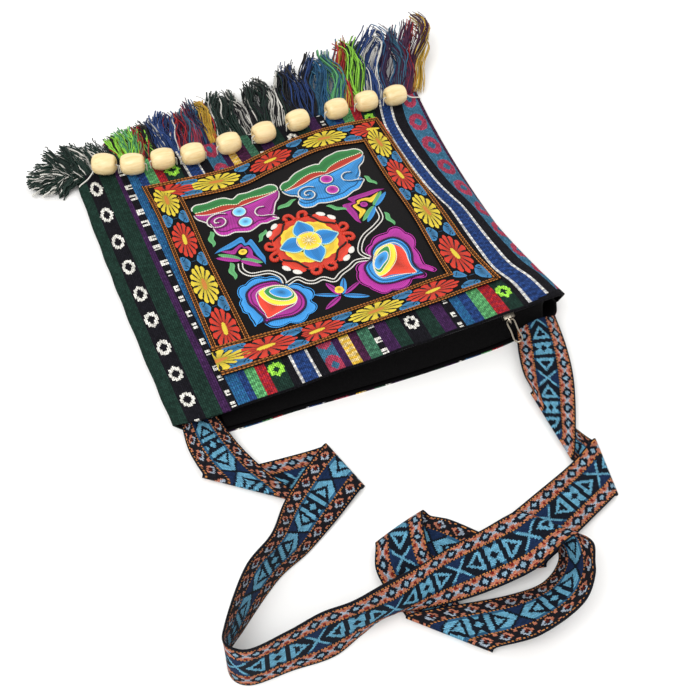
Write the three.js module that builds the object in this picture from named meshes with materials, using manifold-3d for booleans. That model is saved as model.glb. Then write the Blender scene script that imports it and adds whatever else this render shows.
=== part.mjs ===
// Crossbody bag of striped hand-loom cloth, lying on its back with its zipped mouth towards -Y.
// Millimetres, +Z up. X runs along the mouth, Y from the mouth to the fringe.
// The origin lies on the floor under the middle of the embroidered square.
import * as THREE from 'three';
import { mergeVertices } from 'three/addons/utils/BufferGeometryUtils.js';
import Module from 'manifold-3d';

const wasm = await Module();
wasm.setup();

// Cloth
const CLOTH = 1.5;
const BACK_CLOTH = 1.4;
const APPLIQUE = 0.9;
const GAP = 0.3;
const FRONT_CELLS = [22, 16];
const BACK_CELLS = [12, 8];
const HALF_WIDTH = 150;
const LENGTH = 268;

// Fineness of the working
const NORMAL_STEP = 0.002;
const SEARCH_STEPS = 40;
const MERGE_DISTANCE = 1e-4;

// Front wall: three sections from the mouth to the far edge, each a row of stations across the bag.
// across is -1 at the left side seam and 1 at the right one.
const ACROSS = [-1, -0.87, -0.45, -0.04, 0.36, 0.69, 0.9, 1];
const MOUTH_RIM = { // columns x, y, z
  rows: [[-144, -115, 4], [-126, -124, 14], [-58, -128, 22], [0, -130, 28],
    [58, -132, 33], [105, -133, 36], [142, -129, 28], [156, -115, 7]],
};
const BELLY = { // columns x, y, z
  rows: [[-148.5, 12, 3.6], [-130, 11, 9.5], [-58, 9, 15], [0, 8, 18],
    [57, 7, 19], [104, 8, 18], [135, 10, 11], [145.5, 12, 3.6]],
};
const FAR_EDGE = { // columns x, y, z
  rows: [[-149.5, 143, 3.6], [-131, 141, 5], [-58, 138, 6], [0, 137, 6],
    [58, 138, 6], [105, 139, 6], [141, 140, 5], [156, 141, 3.6]],
};
// The back wall's mouth edge on the floor, at the same stations.
const BACK_RIM = { // columns x, y
  rows: [[-144, -113], [-126, -129], [-58, -133], [0, -136],
    [58, -137], [105, -135], [142, -127], [156, -113]],
};

// Embroidered square with its ribbon frame, as corners in (across, along) of the front wall.
const SQUARE = { // columns across, along
  farLeft: [-0.72, 0.887],
  farRight: [0.722, 0.885],
  nearRight: [0.74, 0.073],
  nearLeft: [-0.757, 0.104],
};
const RIBBON_SHARE = 33 / 213;
const SEAM_SHARE = 0.5 / 213;
const SATIN_CELLS = [10, 10];
const RIBBON_CELLS = [14, 2];

// Zip in the mouth
const ZIP_FROM = -112;
const ZIP_TO = 133;
const ZIP_STEPS = 20;
const ZIP_STEP = 0.02;
const TAPE = 0.9;
const TAPE_INSET = 3;
const TAPE_DROP = 4;
const TAPE_TUCK = 12;
const ZIP_BANDS = { front: [0, 0.12], coil: [0.16, 0.23], back: [0.27, 1] };
const COIL = 2.4;
const SLIDER = { x: 98, length: 9, width: 7, nose: 4, height: 3.4, tilt: 32, curve: 6 };
const CROWN = { wire: 1.3, span: 6, rise: 3.2 };
const CROWN_ARCH = { // columns share of the span, share of the rise
  rows: [[-0.5, -0.4], [-0.5, 0.55], [-0.25, 1], [0.25, 1], [0.5, 0.55], [0.5, -0.4]],
};
const PULL = { length: 17, top: 4.6, bottom: 5.6, wire: 1.2, lean: 70, steps: 36 };
const PULL_OUTLINE = { // columns share of half the top width, of half the bottom width, of the length
  rows: [[0, 0, 0], [1, 0, 0.03], [0.5, 0.5, 0.46], [0, 1, 0.9], [0, 0.5, 1],
    [0, -0.5, 1], [0, -1, 0.9], [-0.5, -0.5, 0.46], [-1, 0, 0.03]],
};
const WIRE_SIDES = 6;

// Beads along the far edge
const BEAD = { length: 20, diameter: 18.5, waist: 13, bore: 4, sides: 12, swell: 0.72 };
const BEAD_STATIONS = [-0.78, -0.35, 0.35, 0.78];
const BEAD_PLACES = { // columns x, y
  rows: [[-125, 134], [-104, 125], [-80, 121.5], [-56, 118], [-25, 119.5],
    [6, 122], [38, 127], [74, 129], [102, 129.5], [129, 129]],
};
const THREAD = { diameter: 1, sides: 5, inside: 0.7, bend: 0.6 };

// Fringe of the cloth's own yarns
const FRINGE_HEAD = { depth: 5, height: 4.4, gap: 1.2, steps: 12 };
const FLOOR_CLEAR = 0.2;
const LOCKS = 33;
const LOCK_CROWDING = 1.25;
const LOCK = { wide: 12, deep: 4.4, tip: 0.45, neck: 0.45, neckEnd: 0.2, sides: 6, rings: 5, hump: 4 };
const LOCK_WANDER = { sway: 3, swayTurn: 2.4, ragged: 0.06, raggedTurn: 1.7 };
const LOCK_FALL = { // columns x of the root, tip's way in x and in y, height of the tip
  rows: [[-151, -35, -6, 3], [-142, -27, 11, 6], [-136, -20, 17, 8], [-128, -14, 23, 8],
    [-110, -2, 32, 6], [-92, 1, 39, 6], [-50, 2, 52, 5], [0, 4, 60, 6],
    [50, 12, 68, 10], [100, 22, 78, 16], [130, 30, 76, 22], [153, 36, 72, 26]],
};

// Strap: rungs from the left mouth corner to the right one, each a straight line across the band.
// cup is the rise of the band's middle off the rung, towards its orange side.
// turn 1 is a fold over itself, -1 a fold under itself, about the rung.
const STRAP = { thick: 1.2, fold: 1.8, lowest: 0.9, steps: 2, nudge: 0.25 };
const STRAP_RUNGS = { // columns x, y, z of edge a, then of edge b, cup, turn
  rows: [
    [-138.5, -116.5, 2.6, -115, -119, 6.5, 0, 0],
    [-140, -135, 3, -109, -144, 5, -4, 0],
    [-138.5, -149, 4, -100, -168, 5, 0, 0],
    [-137, -158, 3, -84, -199, 3, 0, -1],
    [-99, -163, 1.2, -64, -202, 1.2, 0, 0],
    [-56, -166, 3, -45, -204.5, 3, 0, 1],
    [-94, -197, 12, -71, -220, 2, 0, 0],
    [-115, -227, 32, -94, -232, 1.2, 0, 0],
    [-134, -240, 34, -115, -240.5, 1.2, 0, 0],
    [-157, -270, 36.5, -146.5, -263, 1.2, 0, 0],
    [-160.5, -278, 38.5, -159, -273.5, 1.2, 0, 0],
    [-159, -282, 38.5, -161, -286.5, 1.2, 0, 0],
    [-151, -287.5, 38, -154.5, -293.5, 1.2, 0, 0],
    [-126.5, -286.5, 38, -127.5, -295.5, 1.2, 0, 0],
    [-105, -283, 36, -102.5, -297, 1.2, 0, 0],
    [-88, -284, 37, -84, -292, 2.5, 2, 0],
    [-64.3, -278, 28, -63.8, -287, 2, 8, 0],
    [-38, -271, 16, -43.5, -293, 5, 8, 0],
    [-15.7, -266.7, 14.5, -19.8, -297.7, 8.5, 5, 0],
    [9, -265, 17.5, -0.3, -300.6, 15.5, 2, 0],
    [22.6, -265, 24, 23.6, -301.3, 23.5, 0, 0],
    [29, -267, 30, 53.5, -294, 30, 0, 0],
    [42, -274, 16, 58, -303, 34, 0, 0],
    [48.5, -292, 5, 52, -314, 35.5, 0, 0],
    [43, -299, 4, 49, -320, 34, 0, 0],
    [29.5, -305, 3.6, 37.5, -330.5, 29.5, 0, 0],
    [7, -304.5, 5, 7, -336, 20, 0, 0],
    [-55, -292, 3.2, -17, -329.5, 3.2, 0, -1],
    [-59.5, -272, 2.5, -24, -292, 5, 0, 0],
    [-60, -258, 4, -26, -262, 9, 4, 0],
    [-55, -247, 6, -20.5, -240, 11, 2, 0],
    [-52.5, -243, 3.6, -16.2, -234.8, 5, 0, 0],
    [-49, -246.5, 1.2, -13, -238, 1.2, 0, 0],
    [-31.6, -270, 1.2, -2.7, -245.3, 1.2, 0, 0],
    [-27.7, -277, 3, 38, -295, 3, 0, 1],
    [46, -253.5, 4, 57, -288, 4, 0, 0],
    [90, -239.5, 4.6, 103, -271, 4.6, 0, 0],
    [112.5, -229, 3, 104, -270.5, 3, 0, -1],
    [92, -181.5, 5, 92.3, -237, 3, 0, 1],
    [93.3, -166.6, 7, 105.4, -217, 5.5, 0, 0],
    [98.9, -149.3, 6.5, 123.8, -182.8, 7, 0, 0],
    [103.7, -138.4, 6, 132.7, -157.3, 8, 3, 0],
    [106.7, -131.5, 5.8, 138.9, -131, 8.5, 5, 0],
  ],
};

const COLOURS = {
  loomCloth: '#23303a', satin: '#16141a', flowerRibbon: '#a8502c', zipTape: '#17161a', metal: '#b9b4a8',
  strapBand: '#3f7fa6', bead: '#ead29a', thread: '#efeae0', yarn: '#24423a',
};

function material(colour, roughness, metalness) {
  return new THREE.MeshStandardMaterial({ color: colour, roughness, metalness });
}

const FINISH = {
  loomCloth: material(COLOURS.loomCloth, 0.9, 0),
  satin: material(COLOURS.satin, 0.5, 0),
  flowerRibbon: material(COLOURS.flowerRibbon, 0.7, 0),
  zipTape: material(COLOURS.zipTape, 0.85, 0),
  metal: material(COLOURS.metal, 0.3, 1),
  strapBand: material(COLOURS.strapBand, 0.75, 0),
  bead: material(COLOURS.bead, 0.5, 0),
  thread: material(COLOURS.thread, 0.9, 0),
  yarn: material(COLOURS.yarn, 0.95, 0),
};

// Smooth value of a table's rows at a place on its own scale, by cubic pieces between the rows.
function along(scale, rows, place) {
  let i = 0;
  while (i < scale.length - 2 && place > scale[i + 1]) i += 1;
  const span = scale[i + 1] - scale[i];
  const t = (place - scale[i]) / span;
  const slope = (k, column) => {
    const before = Math.max(k - 1, 0);
    const after = Math.min(k + 1, rows.length - 1);
    return (rows[after][column] - rows[before][column]) / (scale[after] - scale[before]);
  };
  return rows[i].map((start, column) => {
    const end = rows[i + 1][column];
    const rise = slope(i, column) * span;
    const fall = slope(i + 1, column) * span;
    return start * (2 * t ** 3 - 3 * t ** 2 + 1) + rise * (t ** 3 - 2 * t ** 2 + t)
      + end * (3 * t ** 2 - 2 * t ** 3) + fall * (t ** 3 - t ** 2);
  });
}

// A point of the front wall's outer face.
function frontPoint(across, alongBag) {
  const rim = along(ACROSS, MOUTH_RIM.rows, across);
  const belly = along(ACROSS, BELLY.rows, across);
  const far = along(ACROSS, FAR_EDGE.rows, across);
  const v = alongBag;
  const shares = [(1 - v) * (1 - 2 * v), 4 * v * (1 - v), v * (2 * v - 1)];
  const mix = rim.map((r, k) => r * shares[0] + belly[k] * shares[1] + far[k] * shares[2]);
  return new THREE.Vector3(...mix);
}

// A point of the back wall's underside.
function backPoint(across, alongBag) {
  const rim = along(ACROSS, BACK_RIM.rows, across);
  const far = along(ACROSS, FAR_EDGE.rows, across);
  const side = frontPoint(across, alongBag);
  return new THREE.Vector3(side.x, rim[1] + (far[1] - rim[1]) * alongBag, 0);
}

function normalOf(surface, p, q) {
  const inside = (value) => [Math.max(value - NORMAL_STEP, -1), Math.min(value + NORMAL_STEP, 1)];
  const [p0, p1] = inside(p);
  const [q0, q1] = inside(q);
  const alongP = surface(p1, q).sub(surface(p0, q));
  const alongQ = surface(p, q1).sub(surface(p, q0));
  return alongP.cross(alongQ).normalize();
}

function meshOf(points, faces) {
  const geometry = new THREE.BufferGeometry();
  const numbers = points.flatMap((p) => [p.x, p.y, p.z]);
  geometry.setAttribute('position', new THREE.Float32BufferAttribute(numbers, 3));
  geometry.setIndex(faces.flat());
  return geometry;
}

// A closed sheet over a grid of the surface, between two heights along its normal.
function sheet(surface, [p0, p1], [q0, q1], [cellsP, cellsQ], low, high) {
  const points = [];
  const faces = [];
  const across = cellsP + 1;
  const layer = across * (cellsQ + 1);
  for (const height of [high, low]) {
    for (let j = 0; j <= cellsQ; j += 1) {
      for (let i = 0; i <= cellsP; i += 1) {
        const p = p0 + (p1 - p0) * i / cellsP;
        const q = q0 + (q1 - q0) * j / cellsQ;
        points.push(surface(p, q).addScaledVector(normalOf(surface, p, q), height));
      }
    }
  }
  const quad = (a, b, c, d) => faces.push([a, b, c], [a, c, d]);
  for (let j = 0; j < cellsQ; j += 1) {
    for (let i = 0; i < cellsP; i += 1) {
      const a = j * across + i;
      quad(a, a + 1, a + 1 + across, a + across);
      quad(layer + a, layer + a + across, layer + a + 1 + across, layer + a + 1);
    }
  }
  const wall = (a, b) => quad(a, layer + a, layer + b, b);
  for (let i = 0; i < cellsP; i += 1) {
    wall(i, i + 1);
    wall(cellsQ * across + i + 1, cellsQ * across + i);
  }
  for (let j = 0; j < cellsQ; j += 1) {
    wall((j + 1) * across, j * across);
    wall(j * across + cellsP, (j + 1) * across + cellsP);
  }
  return meshOf(points, faces);
}

// A closed skin through rings of equal point counts: a ring-shaped body, or one with flat ends.
function loft(rings, endless = false) {
  const sides = rings[0].length;
  const faces = [];
  const spans = endless ? rings.length : rings.length - 1;
  for (let r = 0; r < spans; r += 1) {
    const next = (r + 1) % rings.length;
    for (let k = 0; k < sides; k += 1) {
      const corner = (k + 1) % sides;
      const [a, b] = [r * sides + k, r * sides + corner];
      const [c, d] = [next * sides + corner, next * sides + k];
      faces.push([a, b, c], [a, c, d]);
    }
  }
  if (!endless) {
    const last = (rings.length - 1) * sides;
    for (let k = 1; k < sides - 1; k += 1) {
      faces.push([0, k + 1, k], [last, last + k, last + k + 1]);
    }
  }
  return meshOf(rings.flat(), faces);
}

function volumeOf(geometry) {
  const { array } = geometry.attributes.position;
  const index = geometry.index.array;
  const at = (k) => new THREE.Vector3(array[3 * k], array[3 * k + 1], array[3 * k + 2]);
  let volume = 0;
  for (let i = 0; i < index.length; i += 3) {
    volume += at(index[i]).dot(at(index[i + 1]).cross(at(index[i + 2]))) / 6;
  }
  return volume;
}

// The same closed mesh with its faces turned to point out.
function outward(geometry) {
  if (volumeOf(geometry) < 0) {
    const index = geometry.index.array;
    for (let i = 0; i < index.length; i += 3) [index[i], index[i + 1]] = [index[i + 1], index[i]];
  }
  return geometry;
}

// An oval ring about a point, facing along a direction.
function ovalRing(centre, forward, wide, deep, sides) {
  const side = new THREE.Vector3(-forward.y, forward.x, 0).normalize();
  const up = forward.clone().cross(side).normalize();
  return Array.from({ length: sides }, (_, k) => {
    const turn = 2 * Math.PI * k / sides;
    return centre.clone().addScaledVector(side, Math.cos(turn) * wide / 2)
      .addScaledVector(up, Math.sin(turn) * deep / 2);
  });
}

// A round ring of a wire whose path stays square to a given direction.
function wireRing(centre, forward, square, diameter, sides) {
  const side = square.clone().cross(forward).normalize();
  return Array.from({ length: sides }, (_, k) => {
    const turn = 2 * Math.PI * k / sides;
    return centre.clone().addScaledVector(square, Math.cos(turn) * diameter / 2)
      .addScaledVector(side, Math.sin(turn) * diameter / 2);
  });
}

// A round tube along points of a plane that is square to a given direction.
function tube(path, steps, diameter, sides, square) {
  const curve = new THREE.CatmullRomCurve3(path);
  const rings = Array.from({ length: steps + 1 }, (_, i) => (
    wireRing(curve.getPoint(i / steps), curve.getTangent(i / steps), square, diameter, sides)
  ));
  return loft(rings);
}

function solidOf(geometry) {
  const bare = geometry.clone();
  bare.deleteAttribute('normal');
  bare.deleteAttribute('uv');
  const merged = mergeVertices(bare, MERGE_DISTANCE);
  return new wasm.Manifold(new wasm.Mesh({
    numProp: 3,
    vertProperties: new Float32Array(merged.attributes.position.array),
    triVerts: new Uint32Array(merged.index.array),
  }));
}

function geometryOf(solid) {
  const mesh = solid.getMesh();
  const geometry = new THREE.BufferGeometry();
  geometry.setAttribute('position', new THREE.Float32BufferAttribute(Array.from(mesh.vertProperties), 3));
  geometry.setIndex(Array.from(mesh.triVerts));
  return geometry;
}

const bag = new THREE.Group();

function add(name, geometry, finish) {
  const mesh = new THREE.Mesh(geometry, finish);
  mesh.name = name;
  bag.add(mesh);
  return mesh;
}

// Walls of the bag
function addWalls() {
  add('front_panel', sheet(frontPoint, [-1, 1], [0, 1], FRONT_CELLS, -CLOTH, 0), FINISH.loomCloth);
  add('back_panel', sheet(backPoint, [-1, 1], [0, 1], BACK_CELLS, 0, BACK_CLOTH), FINISH.loomCloth);
}

// A point of the square: s and t run from -1 to 1, t towards the fringe.
function squarePoint(s, t) {
  const left = (1 - s) / 2;
  const near = (1 - t) / 2;
  const [across, alongBag] = [0, 1].map((k) => (
    SQUARE.farLeft[k] * left * (1 - near) + SQUARE.farRight[k] * (1 - left) * (1 - near)
    + SQUARE.nearLeft[k] * left * near + SQUARE.nearRight[k] * (1 - left) * near
  ));
  return frontPoint(across, alongBag);
}

// Satin square and its ribbon frame: the bottom ribbon runs across, the left and right ones run
// up from it, and the top one lies between them.
function addSquare() {
  const low = GAP;
  const high = GAP + APPLIQUE;
  const inner = 1 - 2 * RIBBON_SHARE;
  const seam = 2 * SEAM_SHARE;
  const satin = inner - seam;
  const patch = (s, t, cells) => sheet(squarePoint, s, t, cells, low, high);
  add('embroidered_panel', patch([-satin, satin], [-satin, satin], SATIN_CELLS), FINISH.satin);
  const [lengthCells, widthCells] = RIBBON_CELLS;
  const upright = [widthCells, lengthCells];
  add('ribbon_bottom', patch([-1, 1], [-1, -inner], RIBBON_CELLS), FINISH.flowerRibbon);
  add('ribbon_left', patch([-1, -inner], [-inner + seam, 1], upright), FINISH.flowerRibbon);
  add('ribbon_right', patch([inner, 1], [-inner + seam, 1], upright), FINISH.flowerRibbon);
  add('ribbon_top', patch([-inner + seam, inner - seam], [inner, 1], RIBBON_CELLS), FINISH.flowerRibbon);
}

// A row of a section at a given x, found from its stations.
function rowAtX(table, x) {
  const scale = table.rows.map((row) => row[0]);
  return along(scale, table.rows, x);
}

// A point of the zip: p runs along the mouth, w from the front rim to the back one,
// with the tapes tucked into the mouth.
function zipPoint(p, w) {
  const x = ZIP_FROM + (ZIP_TO - ZIP_FROM) * p;
  const [, rimY, rimZ] = rowAtX(MOUTH_RIM, x);
  const [, backY] = rowAtX(BACK_RIM, x);
  const top = [rimY + TAPE_INSET, rimZ - TAPE_DROP];
  const foot = [backY + TAPE_INSET, BACK_CLOTH + TAPE];
  const tuck = [Math.max(top[0], foot[0]) + TAPE_TUCK, (top[1] + foot[1]) / 2];
  const [y, z] = [0, 1].map((k) => top[k] * (1 - w) ** 2 + tuck[k] * 2 * w * (1 - w) + foot[k] * w ** 2);
  return new THREE.Vector3(x, y, z);
}

// Zip tapes and the closed coil between them
function addZipBands() {
  const strip = ([from, to], cells, thick) => outward(sheet(zipPoint, [0, 1], [from, to],
    [ZIP_STEPS, cells], -thick / 2, thick / 2));
  add('zip_tape_front', strip(ZIP_BANDS.front, 1, TAPE), FINISH.zipTape);
  add('zip_coil', strip(ZIP_BANDS.coil, 1, COIL), FINISH.zipTape);
  add('zip_tape_back', strip(ZIP_BANDS.back, 4, TAPE), FINISH.zipTape);
}

// The slider's own frame on the coil: hinge lies across its crown, down along the tape, out of the bag.
function sliderFrame() {
  const p = (SLIDER.x - ZIP_FROM) / (ZIP_TO - ZIP_FROM);
  const w = (ZIP_BANDS.coil[0] + ZIP_BANDS.coil[1]) / 2;
  const centre = zipPoint(p, w);
  const onwards = zipPoint(p + ZIP_STEP, w).sub(zipPoint(p - ZIP_STEP, w)).normalize();
  const down = zipPoint(p, w + ZIP_STEP).sub(zipPoint(p, w - ZIP_STEP)).normalize();
  const out = down.clone().cross(onwards).normalize();
  const tilt = THREE.MathUtils.degToRad(SLIDER.tilt);
  const hinge = onwards.clone().applyAxisAngle(out, tilt);
  const hang = hinge.clone().cross(out);
  return { centre, onwards, out, hinge, hang };
}

// Metal slider with a crown that holds the pull
function addSlider() {
  const { centre, onwards, out, hinge, hang } = sliderFrame();
  const shape = new THREE.Shape();
  const [halfLength, halfWidth, halfNose] = [SLIDER.length / 2, SLIDER.width / 2, SLIDER.nose / 2];
  shape.moveTo(-halfLength, -halfNose);
  shape.lineTo(0, -halfWidth);
  shape.absarc(halfLength - halfWidth, 0, halfWidth, -Math.PI / 2, Math.PI / 2);
  shape.lineTo(0, halfWidth);
  shape.lineTo(-halfLength, halfNose);
  const plate = new THREE.ExtrudeGeometry(shape, {
    depth: SLIDER.height, bevelEnabled: false, curveSegments: SLIDER.curve,
  });
  const up = out.clone().cross(onwards);
  plate.applyMatrix4(new THREE.Matrix4().makeBasis(onwards, up, out));
  const base = centre.clone().addScaledVector(out, COIL / 2 + GAP);
  plate.translate(base.x, base.y, base.z);
  const seat = base.clone().addScaledVector(out, SLIDER.height);
  const arch = CROWN_ARCH.rows.map(([side, rise]) => seat.clone()
    .addScaledVector(hang, side * CROWN.span).addScaledVector(out, rise * CROWN.rise));
  const crown = tube(arch, 2 * arch.length, CROWN.wire, WIRE_SIDES, hinge);
  add('zip_slider', geometryOf(solidOf(plate).add(solidOf(outward(crown)))), FINISH.metal);
}

// Wire pull tab, hung under the crown and leaning out from the tape
function addPull() {
  const { centre, out, hinge, hang } = sliderFrame();
  const axisHeight = COIL / 2 + GAP + SLIDER.height + PULL.wire / 2 + GAP;
  const eye = centre.clone().addScaledVector(out, axisHeight);
  const lean = THREE.MathUtils.degToRad(PULL.lean);
  const way = hang.clone().multiplyScalar(Math.cos(lean)).addScaledVector(out, Math.sin(lean));
  const face = hinge.clone().cross(way).normalize();
  const path = PULL_OUTLINE.rows.map(([top, bottom, drop]) => eye.clone()
    .addScaledVector(hinge, (top * PULL.top + bottom * PULL.bottom) / 2)
    .addScaledVector(way, drop * PULL.length));
  const curve = new THREE.CatmullRomCurve3(path, true, 'centripetal');
  const rings = Array.from({ length: PULL.steps }, (_, i) => {
    const t = i / PULL.steps;
    return wireRing(curve.getPoint(t), curve.getTangent(t), face, PULL.wire, WIRE_SIDES);
  });
  add('zip_pull', outward(loft(rings, true)), FINISH.metal);
}

// The front wall's outer face above a place on the floor, found by stepping towards it.
function frontAbove(x, y) {
  let across = 0;
  let alongBag = 0.5;
  for (let i = 0; i < SEARCH_STEPS; i += 1) {
    const p = frontPoint(across, alongBag);
    across = THREE.MathUtils.clamp(across + (x - p.x) / HALF_WIDTH, -1, 1);
    alongBag = THREE.MathUtils.clamp(alongBag + (y - p.y) / LENGTH, 0, 1);
  }
  return frontPoint(across, alongBag).z;
}

// Turned barrel beads, each on a thread that comes out of the cloth at both of its ends
function addBeads() {
  const places = BEAD_PLACES.rows;
  const half = BEAD.length / 2;
  const profile = [new THREE.Vector2(BEAD.bore / 2, -half), new THREE.Vector2(BEAD.waist / 2, -half)];
  for (const share of BEAD_STATIONS) {
    const bulge = Math.sqrt(1 - (share * BEAD.swell) ** 2);
    profile.push(new THREE.Vector2(BEAD.diameter / 2 * bulge, share * half));
  }
  profile.push(new THREE.Vector2(BEAD.waist / 2, half), new THREE.Vector2(BEAD.bore / 2, half));
  profile.push(profile[0].clone());
  places.forEach(([x, y], i) => {
    const before = places[Math.max(i - 1, 0)];
    const after = places[Math.min(i + 1, places.length - 1)];
    const turn = Math.atan2(after[1] - before[1], after[0] - before[0]);
    const cloth = frontAbove(x, y);
    const centre = new THREE.Vector3(x, y, cloth + BEAD.diameter / 2 + 2 * GAP);
    const bead = new THREE.LatheGeometry(profile, BEAD.sides);
    bead.rotateZ(-Math.PI / 2);
    bead.rotateZ(turn);
    bead.translate(centre.x, centre.y, centre.z);
    const number = String(i + 1).padStart(2, '0');
    add(`bead_${number}`, outward(geometryOf(solidOf(bead))), FINISH.bead);
    const row = new THREE.Vector3(Math.cos(turn), Math.sin(turn), 0);
    const end = (side) => {
      const foot = centre.clone().addScaledVector(row, side * (half + THREAD.diameter));
      const level = frontAbove(foot.x, foot.y) + THREAD.diameter / 2 + GAP;
      return [
        centre.clone().addScaledVector(row, side * half * THREAD.inside),
        foot.clone().addScaledVector(row, -side * THREAD.bend).setZ(centre.z - GAP),
        foot.clone().setZ((centre.z + level) / 2),
        foot.clone().setZ(level),
      ];
    };
    const path = [...end(-1).reverse(), centre, ...end(1)];
    const crosswise = new THREE.Vector3(-row.y, row.x, 0);
    const thread = tube(path, path.length, THREAD.diameter, THREAD.sides, crosswise);
    add(`bead_thread_${number}`, outward(thread), FINISH.thread);
  });
}

// Fringe: a head along the far edge with locks fused to it
function addFringe() {
  const scale = LOCK_FALL.rows.map((row) => row[0]);
  const headPlace = (x) => {
    const [, edge] = rowAtX(FAR_EDGE, x);
    const y = edge + FRINGE_HEAD.gap + FRINGE_HEAD.depth / 2;
    return new THREE.Vector3(x, y, FRINGE_HEAD.height / 2 + FLOOR_CLEAR);
  };
  const [from, to] = [scale[0], scale[scale.length - 1]];
  const headRings = Array.from({ length: FRINGE_HEAD.steps + 1 }, (_, i) => {
    const middle = headPlace(from + (to - from) * i / FRINGE_HEAD.steps);
    return [[-1, -1], [1, -1], [1, 1], [-1, 1]].map(([y, z]) => middle.clone()
      .add(new THREE.Vector3(0, y * FRINGE_HEAD.depth / 2, z * FRINGE_HEAD.height / 2)));
  });
  let fringe = solidOf(outward(loft(headRings)));
  for (let k = 0; k < LOCKS; k += 1) {
    const x = from + (to - from) * (k / (LOCKS - 1)) ** LOCK_CROWDING;
    const [, wayX, wayY, tipZ] = along(scale, LOCK_FALL.rows, x);
    const sway = LOCK_WANDER.sway * Math.sin(k * LOCK_WANDER.swayTurn);
    const reach = 1 + LOCK_WANDER.ragged * Math.sin(k * LOCK_WANDER.raggedTurn + 1);
    const root = headPlace(x);
    const tip = new THREE.Vector3(x + wayX * reach + sway, root.y + wayY * reach, tipZ);
    const middle = root.clone().lerp(tip, 0.5).add(new THREE.Vector3(-sway, 0, LOCK.hump));
    const curve = new THREE.QuadraticBezierCurve3(root, middle, tip);
    const rings = Array.from({ length: LOCK.rings }, (_, i) => {
      const t = i / (LOCK.rings - 1);
      const size = t < LOCK.neckEnd ? LOCK.neck : 1 - (1 - LOCK.tip) * t;
      const [wide, deep] = [LOCK.wide * size, LOCK.deep * size];
      return ovalRing(curve.getPoint(t), curve.getTangent(t), wide, deep, LOCK.sides);
    });
    fringe = fringe.add(solidOf(outward(loft(rings))));
  }
  add('fringe', geometryOf(fringe), FINISH.yarn);
}

// The strap's rungs, with each fold drawn out to three: the way in, the crest and the way out.
function strapRungs() {
  const rungs = [];
  let before = null;
  for (const [ax, ay, az, bx, by, bz, cup, turn] of STRAP_RUNGS.rows) {
    const a = new THREE.Vector3(ax, ay, az);
    const b = new THREE.Vector3(bx, by, bz);
    const middle = a.clone().add(b).multiplyScalar(0.5);
    if (turn === 0) {
      rungs.push({ a, b, cup });
    } else {
      const line = b.clone().sub(a).setZ(0).normalize();
      const outwards = new THREE.Vector3(-line.y, line.x, 0);
      if (outwards.dot(middle.clone().sub(before)) < 0) outwards.negate();
      for (const [rise, reach] of [[-turn, 0], [0, 1], [turn, 0]]) {
        const shift = outwards.clone().multiplyScalar(reach * STRAP.fold).setZ(rise * STRAP.fold);
        rungs.push({ a: a.clone().add(shift), b: b.clone().add(shift), cup });
      }
    }
    before = middle;
  }
  return rungs;
}

// Flat woven strap along its rungs
function addStrap() {
  const rungs = strapRungs();
  const edgeA = new THREE.CatmullRomCurve3(rungs.map((rung) => rung.a));
  const edgeB = new THREE.CatmullRomCurve3(rungs.map((rung) => rung.b));
  const stations = (rungs.length - 1) * STRAP.steps;
  const middleAt = (t) => edgeA.getPoint(t).add(edgeB.getPoint(t)).multiplyScalar(0.5);
  const rings = [];
  for (let i = 0; i <= stations; i += 1) {
    const t = i / stations;
    const k = Math.min(Math.floor(i / STRAP.steps), rungs.length - 2);
    const part = i / STRAP.steps - k;
    const cup = rungs[k].cup * (1 - part) + rungs[k + 1].cup * part;
    const [a, b] = [edgeA, edgeB].map((edge) => edge.getPoint(t));
    for (const point of [a, b]) point.setZ(Math.max(point.z, STRAP.lowest));
    const nudge = STRAP.nudge / stations;
    const way = middleAt(Math.min(t + nudge, 1)).sub(middleAt(Math.max(t - nudge, 0)));
    const orange = b.clone().sub(a).cross(way).normalize();
    const middle = a.clone().add(b).multiplyScalar(0.5).addScaledVector(orange, cup);
    const side = (points, sign) => points.map((p) => (
      p.clone().addScaledVector(orange, sign * STRAP.thick / 2)
    ));
    rings.push([...side([a, middle, b], 1), ...side([b, middle, a], -1)]);
  }
  add('strap', outward(loft(rings)), FINISH.strapBand);
}

addWalls();
addSquare();
addZipBands();
addSlider();
addPull();
addBeads();
addFringe();
addStrap();

export default bag;
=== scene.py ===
"""Finish of a striped hand-loom crossbody bag: cloth, embroidery, ribbons, beads, fringe, zip and strap."""

import math
import random
from types import SimpleNamespace as Sizes

import bmesh
import bpy
import numpy as np
from mathutils import Matrix, Vector


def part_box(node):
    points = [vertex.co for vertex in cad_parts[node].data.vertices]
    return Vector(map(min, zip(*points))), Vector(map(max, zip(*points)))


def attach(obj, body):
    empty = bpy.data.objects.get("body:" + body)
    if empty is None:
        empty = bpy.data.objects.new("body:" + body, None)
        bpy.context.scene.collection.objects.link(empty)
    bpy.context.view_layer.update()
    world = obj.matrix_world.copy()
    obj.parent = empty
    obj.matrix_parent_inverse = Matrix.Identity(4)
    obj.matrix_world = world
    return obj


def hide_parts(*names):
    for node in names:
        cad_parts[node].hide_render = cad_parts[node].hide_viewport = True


bl_info = {
    "name": "Crossbody bag",
    "version": (1, 0, 0),
    "blender": (4, 5, 0),
    "location": "3D View > Sidebar > Bag",
    "description": "Models the finish of a striped hand-loom crossbody bag around its packed frame",
    "category": "Add Mesh",
}

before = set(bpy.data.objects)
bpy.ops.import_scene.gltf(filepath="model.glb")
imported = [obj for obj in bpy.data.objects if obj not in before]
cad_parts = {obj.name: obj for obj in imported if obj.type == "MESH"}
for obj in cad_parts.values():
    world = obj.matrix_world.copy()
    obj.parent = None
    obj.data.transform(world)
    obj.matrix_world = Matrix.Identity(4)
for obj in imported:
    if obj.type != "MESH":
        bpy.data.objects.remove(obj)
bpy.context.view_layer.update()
MM = 0.001
BAG = "bag"
UP = np.array((0.0, 0.0, 1.0))
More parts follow.
